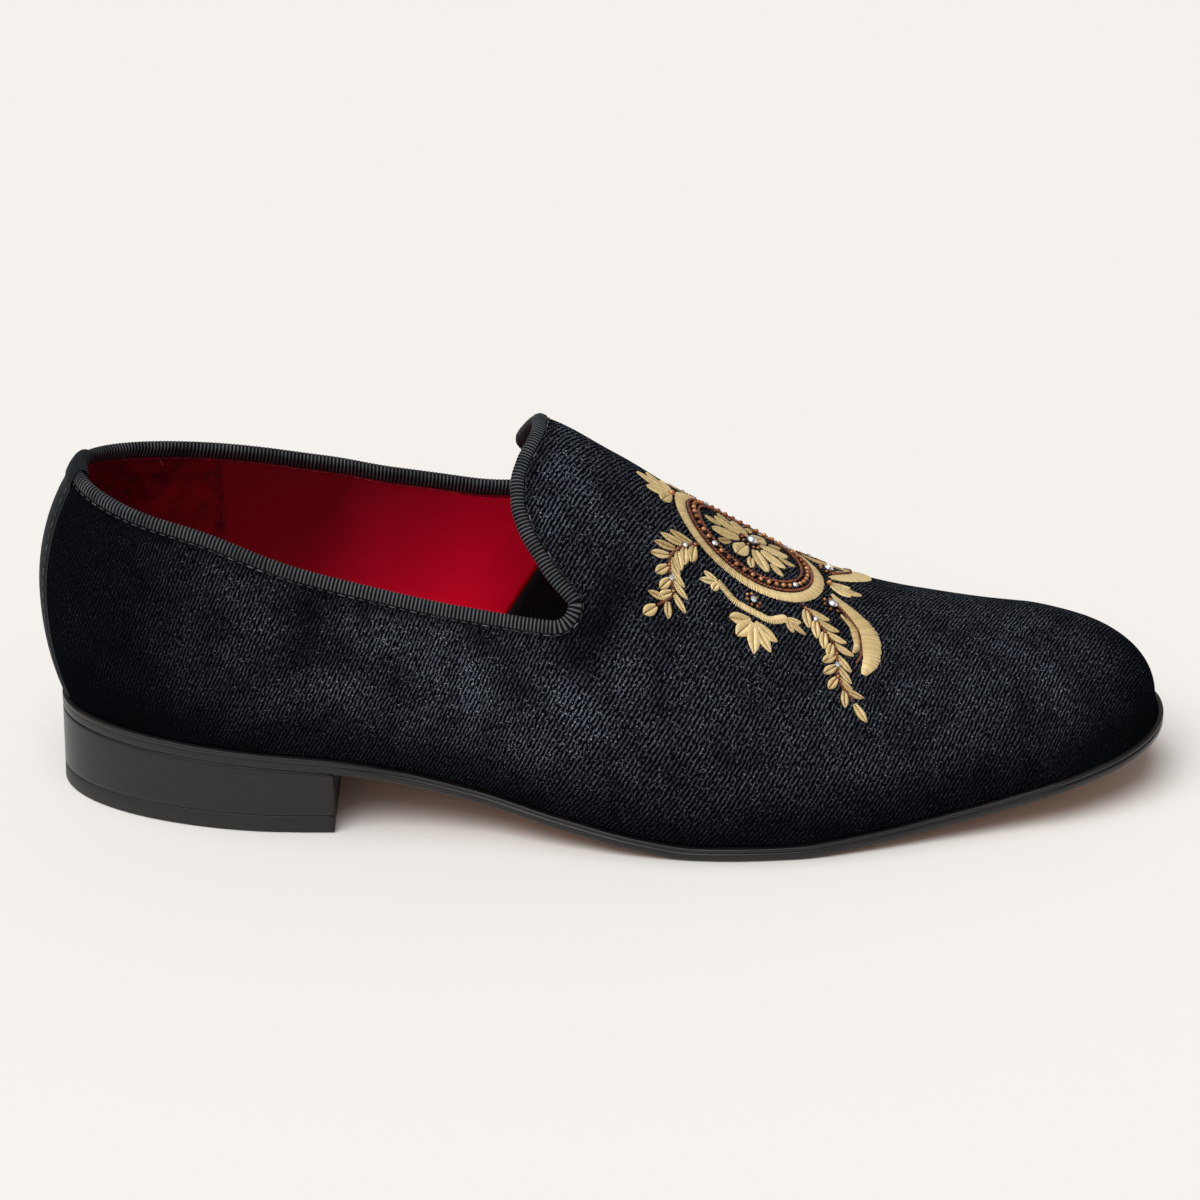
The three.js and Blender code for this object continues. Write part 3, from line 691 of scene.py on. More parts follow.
def velvet_places(side, q, h):
    """The velvet's cloth coordinates, then its painted light and shade, with a painted shadow below the
    binding.
    """
    points = skin(side, q, h)
    from_edge = np.full(points.shape[:-1], 99.0)
    for place in edge_outer[::2]:
        from_edge = np.minimum(from_edge, np.linalg.norm(points - place, axis=-1))
    # painted shadow under the binding: a dark band on the velvet just below it
    painted_binding_shadow = 1 - 0.7 * np.exp(-(((from_edge - BINDING_WIDTH) / 2.2) ** 2))
    nap = painted_nap_light(points) * painted_binding_shadow
    return np.concatenate([unrolled(side, q, h), nap[..., None]], -1)


# %% [markdown]
# ## The velvet upper
# The upper is the outer wall of the shoe: two quarters and a vamp that rises to a high tab.
# It is drawn here as one creased shell on the last's skin. The collar and the vamp are
# separate grids, because the collar's ribs stop at the top edge, while the vamp's run on over
# the ridge and lean with the tab's edge.

# %% The velvet shell
VAMP_Q = fine((NOTCH_Q, 1, 84), (1, 2, 60))
LOW_H = fine((0, 0.16, 6), (0.16, 1, 18))
UP_ROWS = np.linspace(0, 1, 44)
VELVET_WALL = 0.7


def collar_grid(side, surface):
    top = collar_h(side, COLLAR_Q)[:, None]
    rows = np.linspace(0, 1, 18)[1:][None, :]
    h = np.concatenate([np.broadcast_to(LOW_H, (len(top), len(LOW_H))), 1 + (top - 1) * rows], 1)
    return surface(side, COLLAR_Q[:, None], h)


def vamp_grid(side, surface):
    top = band_h(side, VAMP_Q)[:, None]
    rows = np.linspace(0, 1, 18)[1:][None, :]
    h = np.concatenate([np.broadcast_to(LOW_H, (len(top), len(LOW_H))), 1 + (top - 1) * rows], 1)
    return surface(side, VAMP_Q[:, None], h)


def roof_grid(side, surface):
    q, h = roof_place(side, VAMP_Q[:, None], UP_ROWS[None, :])
    return surface(side, q, h)


def wall_between(sheets, side, outside, inside, finish=0):
    """Closes a shell: both faces of the three grids, the top edge and the feather edge."""
    flip = side > 0
    parts = (collar_grid, vamp_grid, roof_grid)
    outer, inner = [[make(side, wall) for make in parts] for wall in (outside, inside)]
    cloth = [make(side, velvet_places) for make in parts]
    for face, back in zip(outer, inner):
        sheets.grid(face, flip, places=cloth.pop(0), finish=finish)
        sheets.grid(back, not flip, finish=finish)
    sheets.grid(np.stack([outer[0][:, -1], inner[0][:, -1]], 1), flip, finish=finish)
    sheets.grid(np.stack([outer[2][0], inner[2][0]], 1), flip, finish=finish)
    for face, back in zip(outer[:2], inner[:2]):
        sheets.grid(np.stack([face[:, 0], back[:, 0]], 1), not flip, finish=finish)


velvet_sheets = Sheets()
for side in (OUTER, INNER):
    wall_between(
        velvet_sheets,
        side,
        velvet_point,
        lambda s, q, h: velvet_point(s, q, h, -VELVET_WALL),
    )
velvet_upper = velvet_sheets.mesh("velvet_upper", velvet_material, node="upper", slot="velvet")

# %% [markdown]
# ## Red lining leather, suede grip and a black vamp lining
# Inside, the quarters are lined with smooth glazed leather, dyed through in red. The back is
# lined with the same skin turned flesh side out, a suede that grips the heel, and a double
# seam joins the two. The vamp has a plain black cloth lining whose edge slants down from the
# notch. Each lining is a thin closed sheet just inside the velvet, following its creases.

# %% Finishes of the linings
def glazed_leather(name, painted_shade):
    material, tree, shader = finish(name, Roughness=0.4, IOR=1.5)
    shader.inputs["Specular IOR Level"].default_value = 0.35
    shader.inputs["Coat Weight"].default_value = 0.1
    shader.inputs["Coat Roughness"].default_value = 0.22
    place = node(tree, "TexCoord").outputs["Object"]
    cloudy = node(tree, "TexNoise", {"Vector": place, "Scale": 45.0, "Detail": 4.0})
    # painted shade and light over a cloudy dye: darker towards the heel and higher up the wall, painted
    # lighter low down and forward in the waist
    painted_light_slope = node(tree, "VectorMath", {0: place, 1: (11.5, 0, -7.5)}, operation="DOT_PRODUCT")
    cloud_and_painted_light = node(
        tree,
        "Math",
        {0: cloudy.outputs["Fac"], 1: 0.2, 2: painted_light_slope.outputs["Value"]},
        operation="MULTIPLY_ADD",
    )
    dyed = stops(
        node(tree, "ValToRGB", {0: cloud_and_painted_light.outputs[0] if painted_shade else cloudy.outputs["Fac"]}),
        (0.0, colour("#7C0518" if painted_shade else "#A80822")),
        (0.62, colour("#F20A38" if painted_shade else "#C80E2E")),
    )
    tree.links.new(dyed, shader.inputs["Base Color"])
    # the grain of a glazed skin is nearly ironed out: cells of about 0.5 mm, very shallow
    grain = node(tree, "TexVoronoi", {"Vector": place, "Scale": 1900.0}, feature="SMOOTH_F1")
    wave = node(tree, "TexNoise", {"Vector": place, "Scale": 60.0, "Detail": 2.0})
    soft = node(tree, "Bump", {"Height": wave.outputs["Fac"], "Strength": 0.5, "Distance": 0.0012})
    fine_grain = {"Height": grain.outputs["Distance"], "Strength": 0.15, "Distance": 0.0001}
    bump = node(tree, "Bump", {**fine_grain, "Normal": soft.outputs[0]})
    tree.links.new(bump.outputs[0], shader.inputs["Normal"])
    return material


def suede():
    material, tree, shader = finish("red_suede_buffed_flesh_side", Roughness=0.95, IOR=1.45)
    shader.inputs["Specular IOR Level"].default_value = 0.1
    shader.inputs["Sheen Weight"].default_value = 0.25
    shader.inputs["Sheen Tint"].default_value = colour("#C04050")
    place = node(tree, "TexCoord").outputs["Object"]
    # rubbed patches of 8 mm and a nap of about 0.5 mm
    rubbed = node(tree, "TexNoise", {"Vector": place, "Scale": 120.0, "Detail": 5.0, "Roughness": 0.7})
    dyed = stops(
        node(tree, "ValToRGB", {0: rubbed.outputs["Fac"]}),
        (0.34, colour("#4A020C")),
        (0.66, colour("#8A0A1A")),
    )
    tree.links.new(dyed, shader.inputs["Base Color"])
    nap = node(tree, "TexNoise", {"Vector": place, "Scale": 2200.0, "Detail": 2.0})
    bump = node(tree, "Bump", {"Height": nap.outputs["Fac"], "Strength": 0.5, "Distance": 0.0003})
    tree.links.new(bump.outputs[0], shader.inputs["Normal"])
    return material


def lining_cloth():
    material, tree, shader = finish("black_cotton_lining_woven", Roughness=0.9, IOR=1.45)
    shader.inputs["Specular IOR Level"].default_value = 0.15
    place = node(tree, "TexCoord").outputs["Object"]
    # warp and weft threads every 0.6 mm
    warp = node(tree, "TexWave", {"Vector": place, "Scale": 265.0}, bands_direction="X")
    weft = node(tree, "TexWave", {"Vector": place, "Scale": 265.0}, bands_direction="Z")
    weave = node(tree, "Math", {0: warp.outputs["Fac"], 1: weft.outputs["Fac"]}, operation="MULTIPLY")
    dyed = stops(
        node(tree, "ValToRGB", {0: weave.outputs[0]}),
        (0.0, colour("#0C0D10")),
        (1.0, colour("#1A1C20")),
    )
    tree.links.new(dyed, shader.inputs["Base Color"])
    bump = node(tree, "Bump", {"Height": weave.outputs[0], "Strength": 0.4, "Distance": 0.0002})
    tree.links.new(bump.outputs[0], shader.inputs["Normal"])
    return material


# the quarter lining and the tab facing carry the painted shade and light, the sock only its cloudy dye
red_leather = glazed_leather("red_lining_leather_glazed", True)
sock_leather = glazed_leather("red_sock_leather_glazed", False)
red_suede, black_cloth = suede(), lining_cloth()

# %% The lining sheets
LINING_FRONT, LINING_BACK = -1.4, -0.85  # over the velvet's outer face, so below zero
GRIP_SEAM_X = 4.4
GRIP_Q = 2 / math.pi * math.acos((STRAIGHT_BACK - GRIP_SEAM_X) / HEEL_CAP) - 1
LINING_FOOT = 0.03


def thin_sheet(sheets, side, q, h, finish=0, over=LINING_FRONT, under=LINING_BACK):
    """A closed sheet on the places q, h: a face towards the foot, a back and four rims."""
    face, back = velvet_point(side, q, h, over), velvet_point(side, q, h, under)
    flip = side > 0
    sheets.grid(face, not flip, finish=finish)
    sheets.grid(back, flip, finish=finish)
    for a, b, turned in ((face[0], back[0], flip), (face[-1], back[-1], not flip)):
        sheets.grid(np.stack([a, b], 1), not turned, finish=finish)
    for a, b, turned in ((face[:, 0], back[:, 0], not flip), (face[:, -1], back[:, -1], flip)):
        sheets.grid(np.stack([a, b], 1), not turned, finish=finish)


def vamp_seam_q(side, q, h):
    """The black lining starts on a slanting line that runs down and back from the notch."""
    z = skin(side, q, h)[..., 2]
    return place_of(np.minimum(81 + 0.633 * (z - 30), BACK + NOTCH_PLACE))


def quarter_places(side, across, rows):
    q = GRIP_Q + across * (NOTCH_Q - GRIP_Q)
    for _ in range(8):
        h = LINING_FOOT + (collar_h(side, q) - LINING_FOOT) * rows
        q = GRIP_Q + across * (vamp_seam_q(side, q, h) - GRIP_Q)
    return q, LINING_FOOT + (collar_h(side, q) - LINING_FOOT) * rows


def vamp_places(side, along, rows):
    q = along + 0 * rows
    for _ in range(8):
        h = LINING_FOOT + (band_h(side, q) - LINING_FOOT) * rows
        start = vamp_seam_q(side, q, h)
        q = start + (along - NOTCH_Q) * (2 - start) / (2 - NOTCH_Q)
    return q, LINING_FOOT + (band_h(side, q) - LINING_FOOT) * rows


leather, grip, cloth, facing = Sheets(), Sheets(), Sheets(), Sheets()
rows = np.linspace(0, 1, 22)[None, :]
for side in (OUTER, INNER):
    q, h = quarter_places(side, np.linspace(0, 1, 60)[:, None], rows)
    thin_sheet(leather, side, q, h)
    heel_q = np.linspace(-1, GRIP_Q, 40)[:, None]
    thin_sheet(grip, side, heel_q + 0 * rows, LINING_FOOT + (collar_h(side, heel_q) - LINING_FOOT) * rows)
    q, h = vamp_places(side, fine((NOTCH_Q, 1, 44), (1, 1.97, 30))[:, None], rows)
    thin_sheet(cloth, side, q, h)
    facing_end = NOTCH_Q + 24 / STRAIGHT
    near = np.linspace(NOTCH_Q, facing_end, 14)[:, None]
    q, h = roof_place(side, near, np.linspace(0, 0.995, 30)[None, :])
    thin_sheet(facing, side, q, h)
    far = fine((facing_end, 1, 36), (1, 1.97, 24))[:, None]
    q, h = roof_place(side, far, np.linspace(0, 0.995, 30)[None, :])
    thin_sheet(cloth, side, q, h)
leather.mesh("red_leather_quarter_lining", red_leather, slot="red_lining")
grip.mesh("red_suede_heel_grip", red_suede, slot="red_suede")
cloth.mesh("black_cloth_vamp_lining", black_cloth, slot="velvet")
facing.mesh("red_leather_tab_facing", red_leather, slot="red_lining")

# %% [markdown]
# ## Ribbed binding round the top edge
# A grosgrain tape is folded over the raw top edge and stitched down. Its ribs are weft cords,
# about 0.8 mm apart, that run across the tape, so on the folded edge they stand like fine
# teeth. They could be bump, but they show in the outline of the collar here, so they are
# real relief: the tape's cross-section is swept along the edge and breathes with each rib.

# %% The binding's cross-section, swept and ribbed
RIB_PITCH = 1.0
RIB_HEIGHT = 0.16
# face (outside +1, top 0, inside -1), distance down the wall, height off it
TAPE_SECTION = [
    (1, 1.0, 0.1),
    (1, 0.93, 0.5),
    (1, 0.75, 0.72),
    (1, 0.5, 0.82),
    (1, 0.2, 0.84),
    (0, 0.8, 0.52),
    (0, 0.45, 0.86),
    (0, -0.1, 0.92),
    (0, -0.6, 0.74),
    (-1, 0.1, 0.66),
    (-1, 0.5, 0.55),
    (-1, 0.9, 0.42),
    (-1, 1.0, 0.1),
]


def tape_column(face, down, off):
    """One line of the tape all round the edge, and the direction its ribs rise in."""
    if face == 0:
        middle = (edge_outer + edge_inner) / 2 + edge_lift
        rise = unit(edge_away * off + edge_out * down)
        return middle + edge_out * down * UPPER_WALL + edge_away * off, rise
    if face > 0:
        return down_the_wall(down * BINDING_WIDTH) + edge_out * off, edge_out
    # the fold's inner leg shows from the far side of the shoe, a little deeper than wide
    return down_the_wall(down * 1.5 * BINDING_TURN, UPPER_WALL) - edge_out * off, -edge_out


def round_the_edge(values, length, at):
    """Values along the closed top edge, read at other distances."""
    start = np.concatenate([[0], np.cumsum(length)])
    closed = np.concatenate([values, values[:1]])
    return np.stack([np.interp(at, start, closed[:, k]) for k in range(3)], 1)


total = edge_length.sum()
ribs = round(total / RIB_PITCH)
at = np.linspace(0, total, ribs * 5 + 1)
rib_wave = 0.5 - 0.5 * np.cos(2 * math.pi * at / total * ribs)
lines = []
for face, down, off in TAPE_SECTION:
    point, rise = tape_column(face, down, off)
    depth = RIB_HEIGHT * min(1, off / 0.5)
    line = round_the_edge(point, edge_length, at)
    lines.append(line - round_the_edge(rise, edge_length, at) * (depth * (1 - rib_wave))[:, None])
back = [down_the_wall(BINDING_WIDTH * 0.9) + edge_out * 0.04,
        edge_outer + edge_lift + edge_out * 0.04,
        edge_inner + edge_lift - edge_out * 0.04,
        down_the_wall(BINDING_TURN, UPPER_WALL) - edge_out * 0.04]
lines += [round_the_edge(point, edge_length, at) for point in back[::-1]]
lines.append(lines[0])
tape = np.stack(lines, 1)
along_mm = np.repeat((at / total * ribs)[:, None], tape.shape[1], 1)
down_mm = np.repeat(np.arange(tape.shape[1])[None, :], len(at), 0)
tape_places = np.stack([along_mm, down_mm], -1)


def grosgrain():
    material, tree, shader = finish("black_grosgrain_tape_woven", Roughness=0.6, IOR=1.5)
    shader.inputs["Specular IOR Level"].default_value = 0.1
    shader.inputs["Sheen Weight"].default_value = 0.03
    # one unit of the first cloth coordinate is one rib, so the colour follows the relief: a painted
    # highlight on each rib's crest, painted shade in the gaps
    cloth = node(tree, "UVMap", uv_map="cloth_mm")
    axes = node(tree, "SeparateXYZ", {0: cloth.outputs[0]})
    turn = node(tree, "Math", {0: axes.outputs["X"], 1: 2 * math.pi}, operation="MULTIPLY")
    wave = node(tree, "Math", {0: turn.outputs[0]}, operation="COSINE")
    rib = node(tree, "MapRange", {"Value": wave.outputs[0], "From Min": 0.2, "From Max": -1.0})
    place = node(tree, "TexCoord").outputs["Object"]
    worn = node(tree, "TexNoise", {"Vector": place, "Scale": 160.0, "Detail": 3.0})
    light = node(tree, "Math", {0: rib.outputs[0], 1: worn.outputs["Fac"]}, operation="MULTIPLY")
    dyed = stops(
        node(tree, "ValToRGB", {0: light.outputs[0]}),
        (0.08, colour("#020203")),
        (0.55, colour("#5C5F64")),
    )
    tree.links.new(dyed, shader.inputs["Base Color"])
    return material


binding_sheets = Sheets()
binding_sheets.grid(tape, places=tape_places)
binding_material = grosgrain()
binding = binding_sheets.mesh(
    "ribbed_collar_binding", binding_material, node="collar_binding", slot="ribbed_binding"
)
print("ribs:", ribs)

# %% [markdown]
# ## Plain tape on the back seam
# The two quarters meet at the back, and a plain matt tape covers that seam. It climbs from
# the sole, steps over the binding, folds over the top edge and is glued down inside. A sheet
# with a bevel modifier would do on a flat back, but here it has to climb the skin, so its
# height over the skin is written as a smooth function of how far the top edge is.

# %% The folded back tape
TAPE_THICK = 0.5
CLEAR_OF_BINDING = 0.95


def tape_lift(below_top, bound):
    """Height off the wall at a distance below the top edge, where bound mm are bound."""
    return 0.1 + (CLEAR_OF_BINDING - 0.1) * (1 - soft_step(below_top, bound, bound + 2.4))


def back_tape_line(side, q, thick):
    """One line of the tape, from its foot outside to its end inside."""
    top = float(collar_h(side, q))
    outside_h = np.linspace(0.04, top, 60)
    outside = skin(side, q, outside_h)
    steps_up = np.linalg.norm(np.diff(outside, axis=0), axis=1)
    below = steps_up.sum() - np.concatenate([[0], np.cumsum(steps_up)])
    lift = tape_lift(below, BINDING_WIDTH) + thick
    up_line = outside + skin_normal(side, q, outside_h) * lift[:, None]
    middle = (skin(side, q, top) + skin(side, q, top, UPPER_WALL)) / 2
    out = unit(skin(side, q, top) - skin(side, q, top, UPPER_WALL))
    away = unit(outside[-1] - outside[-2])
    away = unit(away - out * (away @ out))
    bend = np.linspace(0, math.pi, 11)[1:-1]
    reach = UPPER_WALL / 2 + CLEAR_OF_BINDING + thick
    fold = middle + reach * (np.cos(bend)[:, None] * out + np.sin(bend)[:, None] * away)
    inside_h = np.linspace(top, top - STRIP_TURN * (top - 0.04) / steps_up.sum(), 16)
    inside = skin(side, q, inside_h, UPPER_WALL)
    down = np.concatenate([[0], np.cumsum(np.linalg.norm(np.diff(inside, axis=0), axis=1))])
    lift = tape_lift(down, 1.5 * BINDING_TURN) + thick
    down_line = inside - skin_normal(side, q, inside_h, UPPER_WALL) * lift[:, None]
    return np.concatenate([up_line, fold, down_line])


def tape_cloth():
    material, tree, shader = finish("black_cotton_tape_woven", Roughness=0.8, IOR=1.45)
    shader.inputs["Specular IOR Level"].default_value = 0.1
    shader.inputs["Sheen Weight"].default_value = 0.03
    place = node(tree, "TexCoord").outputs["Object"]
    fuzz = node(tree, "TexNoise", {"Vector": place, "Scale": 1300.0, "Detail": 3.0})
    dyed = stops(
        node(tree, "ValToRGB", {0: fuzz.outputs["Fac"]}),
        (0.35, colour("#121417")),
        (0.7, colour("#22252A")),
    )
    tree.links.new(dyed, shader.inputs["Base Color"])
    bump = node(tree, "Bump", {"Height": fuzz.outputs["Fac"], "Strength": 0.25, "Distance": 0.0002})
    tree.links.new(bump.outputs[0], shader.inputs["Normal"])
    return material


half_q = math.asin(STRIP_WIDTH / 2 / (float(outer_half(0)) * BALL_WIDTH)) / (math.pi / 2)
across = np.linspace(-1, 1, 29)
tape_places = [(OUTER if t > 0 else INNER, abs(t) * half_q - 1) for t in across]
edge_roll = 1 - np.abs(across) ** 14
face = [back_tape_line(s, q, TAPE_THICK * roll) for (s, q), roll in zip(tape_places, edge_roll)]
under = [back_tape_line(s, q, -0.06) for s, q in tape_places]
back_sheets = Sheets()
back_sheets.grid(np.array(face))
back_sheets.grid(np.array(under), flip=True)
for i, turned in ((0, True), (-1, False)):
    back_sheets.grid(np.stack([face[i], under[i]], 1), flip=turned)
for i, turned in ((0, False), (-1, True)):
    ends = np.stack([np.array(face)[:, i], np.array(under)[:, i]], 1)
    back_sheets.grid(ends, flip=turned)
tape_material = tape_cloth()
back_tape = back_sheets.mesh(
    "folded_back_tape", tape_material, node="back_strip", slot="plain_tape"
)

# %% [markdown]
# ## Threads
# Sewing and embroidery are both rows of short threads that leave the cloth, arch over it and
# go back in. One function lays such threads for any list of end points: half a tube each,
# highest in the middle, thin at both ends. Curves with a bevel would look the same but cost
# several times the triangles.

# %% One function for every thread
def lay_threads(sheets, starts, ends, outs, lift, width, tones, rings=5, finish=0):
    """Half tubes from starts to ends that rise lift mm along outs, each width mm wide."""
    starts, ends, outs = (np.asarray(v, float) for v in (starts, ends, outs))
    t = np.linspace(0, 1, rings)
    arch = np.sin(np.pi * t) ** 0.7
    body = 0.35 + 0.65 * np.sin(np.pi * np.clip(t, 0.12, 0.88)) ** 0.5
    turn = np.linspace(0, math.pi, 4)
    lifts = np.broadcast_to(lift, len(starts))
    widths = np.broadcast_to(width, len(starts))
    for a, b, out, rise, wide, tone in zip(starts, ends, outs, lifts, widths, tones):
        line = b - a
        side_way = np.cross(line, out)
        size = np.linalg.norm(side_way)
        if size < 1e-6:
            continue
        side_way /= size
        middle = a + t[:, None] * line + (arch * rise)[:, None] * out
        ring = np.cos(turn)[:, None] * side_way + 0.8 * np.sin(turn)[:, None] * out
        tube = middle[:, None] + (body * wide / 2)[:, None, None] * ring[None]
        places = np.full((rings, 4, 2), tone)
        sheets.grid(tube, places=places, finish=finish)


def run_of_stitches(points, outs, length, gap):
    """Start and end points of a running stitch along a line of points, and the ways out."""
    far = np.concatenate([[0], np.cumsum(np.linalg.norm(np.diff(points, axis=0), axis=1))])
    begin = np.arange(gap, far[-1] - length, length + gap)
    read = lambda values, at: np.stack([np.interp(at, far, values[:, k]) for k in range(3)], 1)
    return read(points, begin), read(points, begin + length), read(outs, begin + length / 2)


def sewing_thread(name, hex_dark, hex_light, roughness=0.5):
    """Spun thread; the first cloth coordinate says how light one thread is."""
    material, tree, shader = finish(name, Roughness=roughness, IOR=1.5)
    cloth = node(tree, "UVMap", uv_map="cloth_mm")
    axes = node(tree, "SeparateXYZ", {0: cloth.outputs[0]})
    tone = stops(
        node(tree, "ValToRGB", {0: axes.outputs["X"]}),
        (0.0, colour(hex_dark)),
        (1.0, colour(hex_light)),
    )
    tree.links.new(tone, shader.inputs["Base Color"])
    return material


rng = np.random.default_rng(7)

# %% Stitches beside the binding, on the back tape and on the lining's seam
black_thread = sewing_thread("black_sewing_thread_spun", "#08090B", "#5E636C")
stitch_sheets = Sheets()
seam_line = down_the_wall(BINDING_WIDTH + 0.45) + edge_out * 0.05
a, b, outs = run_of_stitches(seam_line, edge_out, 1.7, 1.0)
tone = np.where(rng.random(len(a)) < 0.2, rng.uniform(0.5, 1.0, len(a)), 0.1)
lay_threads(stitch_sheets, a, b, outs, 0.18, 0.34, tone)
for s, q in (tape_places[1], tape_places[-2]):
    q = q - 0.006
    h = np.linspace(0.1, float(collar_h(s, q)) - 0.06, 60)
    points = skin(s, q, h) + skin_normal(s, q, h) * (0.1 + TAPE_THICK)
    a, b, outs = run_of_stitches(points, skin_normal(s, q, h), 2.0, 1.4)
    lay_threads(stitch_sheets, a, b, outs, 0.14, 0.3, rng.uniform(0.2, 0.9, len(a)))
stitch_sheets.mesh("collar_and_tape_stitches", black_thread, slot="ribbed_binding")

red_thread = sewing_thread("red_sewing_thread_spun", "#2A0208", "#D04458")
seam_sheets = Sheets()
for side in (OUTER, INNER):
    for shift in (-0.9, 0.9):
        q = GRIP_Q + shift / STRAIGHT
        h = np.linspace(0.1, float(collar_h(side, q)) - 0.08, 60)
        points = velvet_point(side, q, h, LINING_FRONT - 0.02)
        outs = -skin_normal(side, q, h)
        a, b, n = run_of_stitches(points, outs, 1.9, 0.7)
        lay_threads(seam_sheets, a, b, n, 0.12, 0.34, rng.uniform(0.0, 0.25, len(a)))
under_fold = down_the_wall(1.5 * BINDING_TURN + 0.5, UPPER_WALL) - edge_out * 0.02
a, b, outs = run_of_stitches(under_fold, -edge_out, 2.4, 0.5)
tone = rng.uniform(0.35, 1.0, len(a)) * (a[:, 0] < 70)
lay_threads(seam_sheets, a, b, outs, 0.12, 0.3, tone)
# a few loose ends hang from the rough cut of the grip
for _ in range(16):
    k = rng.integers(len(a))
    if a[k, 0] < 12:
        drop = np.array([rng.uniform(-1.2, 1.2), 0, -rng.uniform(1.0, 3.2)])
        lay_threads(seam_sheets, a[k : k + 1], a[k : k + 1] + drop, outs[k : k + 1], 0.3, 0.2, [0.9])
seam_sheets.mesh("red_lining_stitches", red_thread, slot="red_lining")

# %% [markdown]
# ## Gold embroidery on the vamp
# The ornament is worked by machine or by hand before the shoe is lasted: shapes are filled
# with satin stitch, parallel threads laid close together from edge to edge, and cord, copper
# beads and foil-backed stones are sewn on top. It is drawn here on flat cloth, in millimetres
# forward and outward from its middle, and then laid over the ridge by arc length, as the real
# cloth was. Each thread is a solid of its own, because the ends of satin stitches make the
# small teeth along every edge that a painted pattern lacks. The design is a generic one: a
# rosette in a beaded ring with leafy sprays.

# %% From flat cloth to the foot
CREST_X = 147.0
CREST_COLUMNS = CREST_X + np.linspace(-46, 46, 47)
CREST_H = np.linspace(2, 0.35, 130)
crest_girth = {}
for side in (OUTER, INNER):
    rib = skin(side, place_of(CREST_COLUMNS)[:, None], CREST_H[None, :])
    steps = np.linalg.norm(np.diff(rib, axis=1), axis=-1)
    crest_girth[side] = np.concatenate([np.zeros((len(rib), 1)), np.cumsum(steps, 1)], 1)


def on_velvet(spots, stand_off=0.0):
    """Points and ways out for spots (forward, outward) in mm from the ornament's middle."""
    spots = np.asarray(spots, float)
    points, outs = np.zeros((len(spots), 3)), np.zeros((len(spots), 3))
    for side in (OUTER, INNER):
        mine = spots[:, 1] >= 0 if side == OUTER else spots[:, 1] < 0
        x, far = CREST_X + spots[mine, 0], np.abs(spots[mine, 1])
        column = np.interp(x, CREST_COLUMNS, np.arange(len(CREST_COLUMNS)))
        low = np.minimum(column.astype(int), len(CREST_COLUMNS) - 2)
        part = (column - low)[:, None]
        table = crest_girth[side][low] * (1 - part) + crest_girth[side][low + 1] * part
        after = np.clip((table < far[:, None]).sum(1), 1, len(CREST_H) - 1)
        rows = np.arange(len(far))
        before_girth, after_girth = table[rows, after - 1], table[rows, after]
        t = np.clip((far - before_girth) / (after_girth - before_girth), 0, 1)
        h = CREST_H[after - 1] + t * (CREST_H[after] - CREST_H[after - 1])
        points[mine] = velvet_point(side, place_of(x), h, stand_off)
        outs[mine] = skin_normal(side, place_of(x), h)
    return points, outs


low_spot, _ = on_velvet([(0, 40)])
print("40 mm down the outer side:", [round(float(v), 1) for v in low_spot[0]])

# %% Stitched shapes
satin, cord, beads, stones = [], [], [], []


def heading(angle):
    return np.array([math.cos(angle), math.sin(angle)])


def leaf(base, angle, length, width, light=0.75, pitch=0.4):
    """A leaf of slanted satin stitches on both sides of an open midrib."""
    forward, across = heading(angle), heading(angle + math.pi / 2)
    light = light + rng.uniform(-0.32, 0.12)
    for side_sign in (-1, 1):
        for s in np.arange(0.04, 0.97, pitch / length):
            reach = width / 2 * math.sin(math.pi * min(1, s * 0.92 + 0.08) ** 0.8)
            inner = base + forward * (0.3 + s * length) + across * side_sign * 0.1
            outer = inner + across * side_sign * reach + forward * reach * 0.75
            satin.append((*inner, *outer, light + rng.uniform(-0.16, 0.16)))


def band(points, width, light=0.8, pitch=0.42, taper=False):
    """Satin stitch straight across a ribbon that follows a line of spots."""
    points = np.asarray(points, float)
    far = np.concatenate([[0], np.cumsum(np.linalg.norm(np.diff(points, axis=0), axis=1))])
    for s in np.arange(0, far[-1], pitch):
        a, b = [np.array([np.interp(v, far, points[:, k]) for k in (0, 1)]) for v in (s, s + 0.2)]
        if np.allclose(a, b):
            continue
        across = unit(b - a) @ np.array([[0.12, 1], [-1, 0.12]])
        half = width / 2 * rng.uniform(0.94, 1.06)
        if taper:
            half *= math.sin(math.pi * (0.03 + 0.94 * s / far[-1])) ** 0.7
        satin.append((*(a - across * half), *(a + across * half), light + rng.uniform(-0.2, 0.2)))


def corded(points, length=1.1, light=0.2):
    """A thin cord caught down stitch by stitch."""
    points = np.asarray(points, float)
    far = np.concatenate([[0], np.cumsum(np.linalg.norm(np.diff(points, axis=0), axis=1))])
    for s in np.arange(0, far[-1] - length * 0.6, length * 0.86):
        a, b = [[np.interp(v, far, points[:, k]) for k in (0, 1)] for v in (s, s + length)]
        cord.append((*a, *b, light + rng.uniform(-0.2, 0.25)))


def bow(*controls, count=40):
    """Spots along a smooth line through a few control spots."""
    controls = np.asarray(controls, float)
    at = np.linspace(0, len(controls) - 1, count)
    return np.stack([smooth_curve(np.arange(len(controls)), controls[:, k])(at) for k in (0, 1)], 1)


def ring(radius, count=120):
    angle = np.linspace(0, 2 * math.pi, count)
    return np.stack([radius * np.cos(angle), radius * np.sin(angle)], 1)


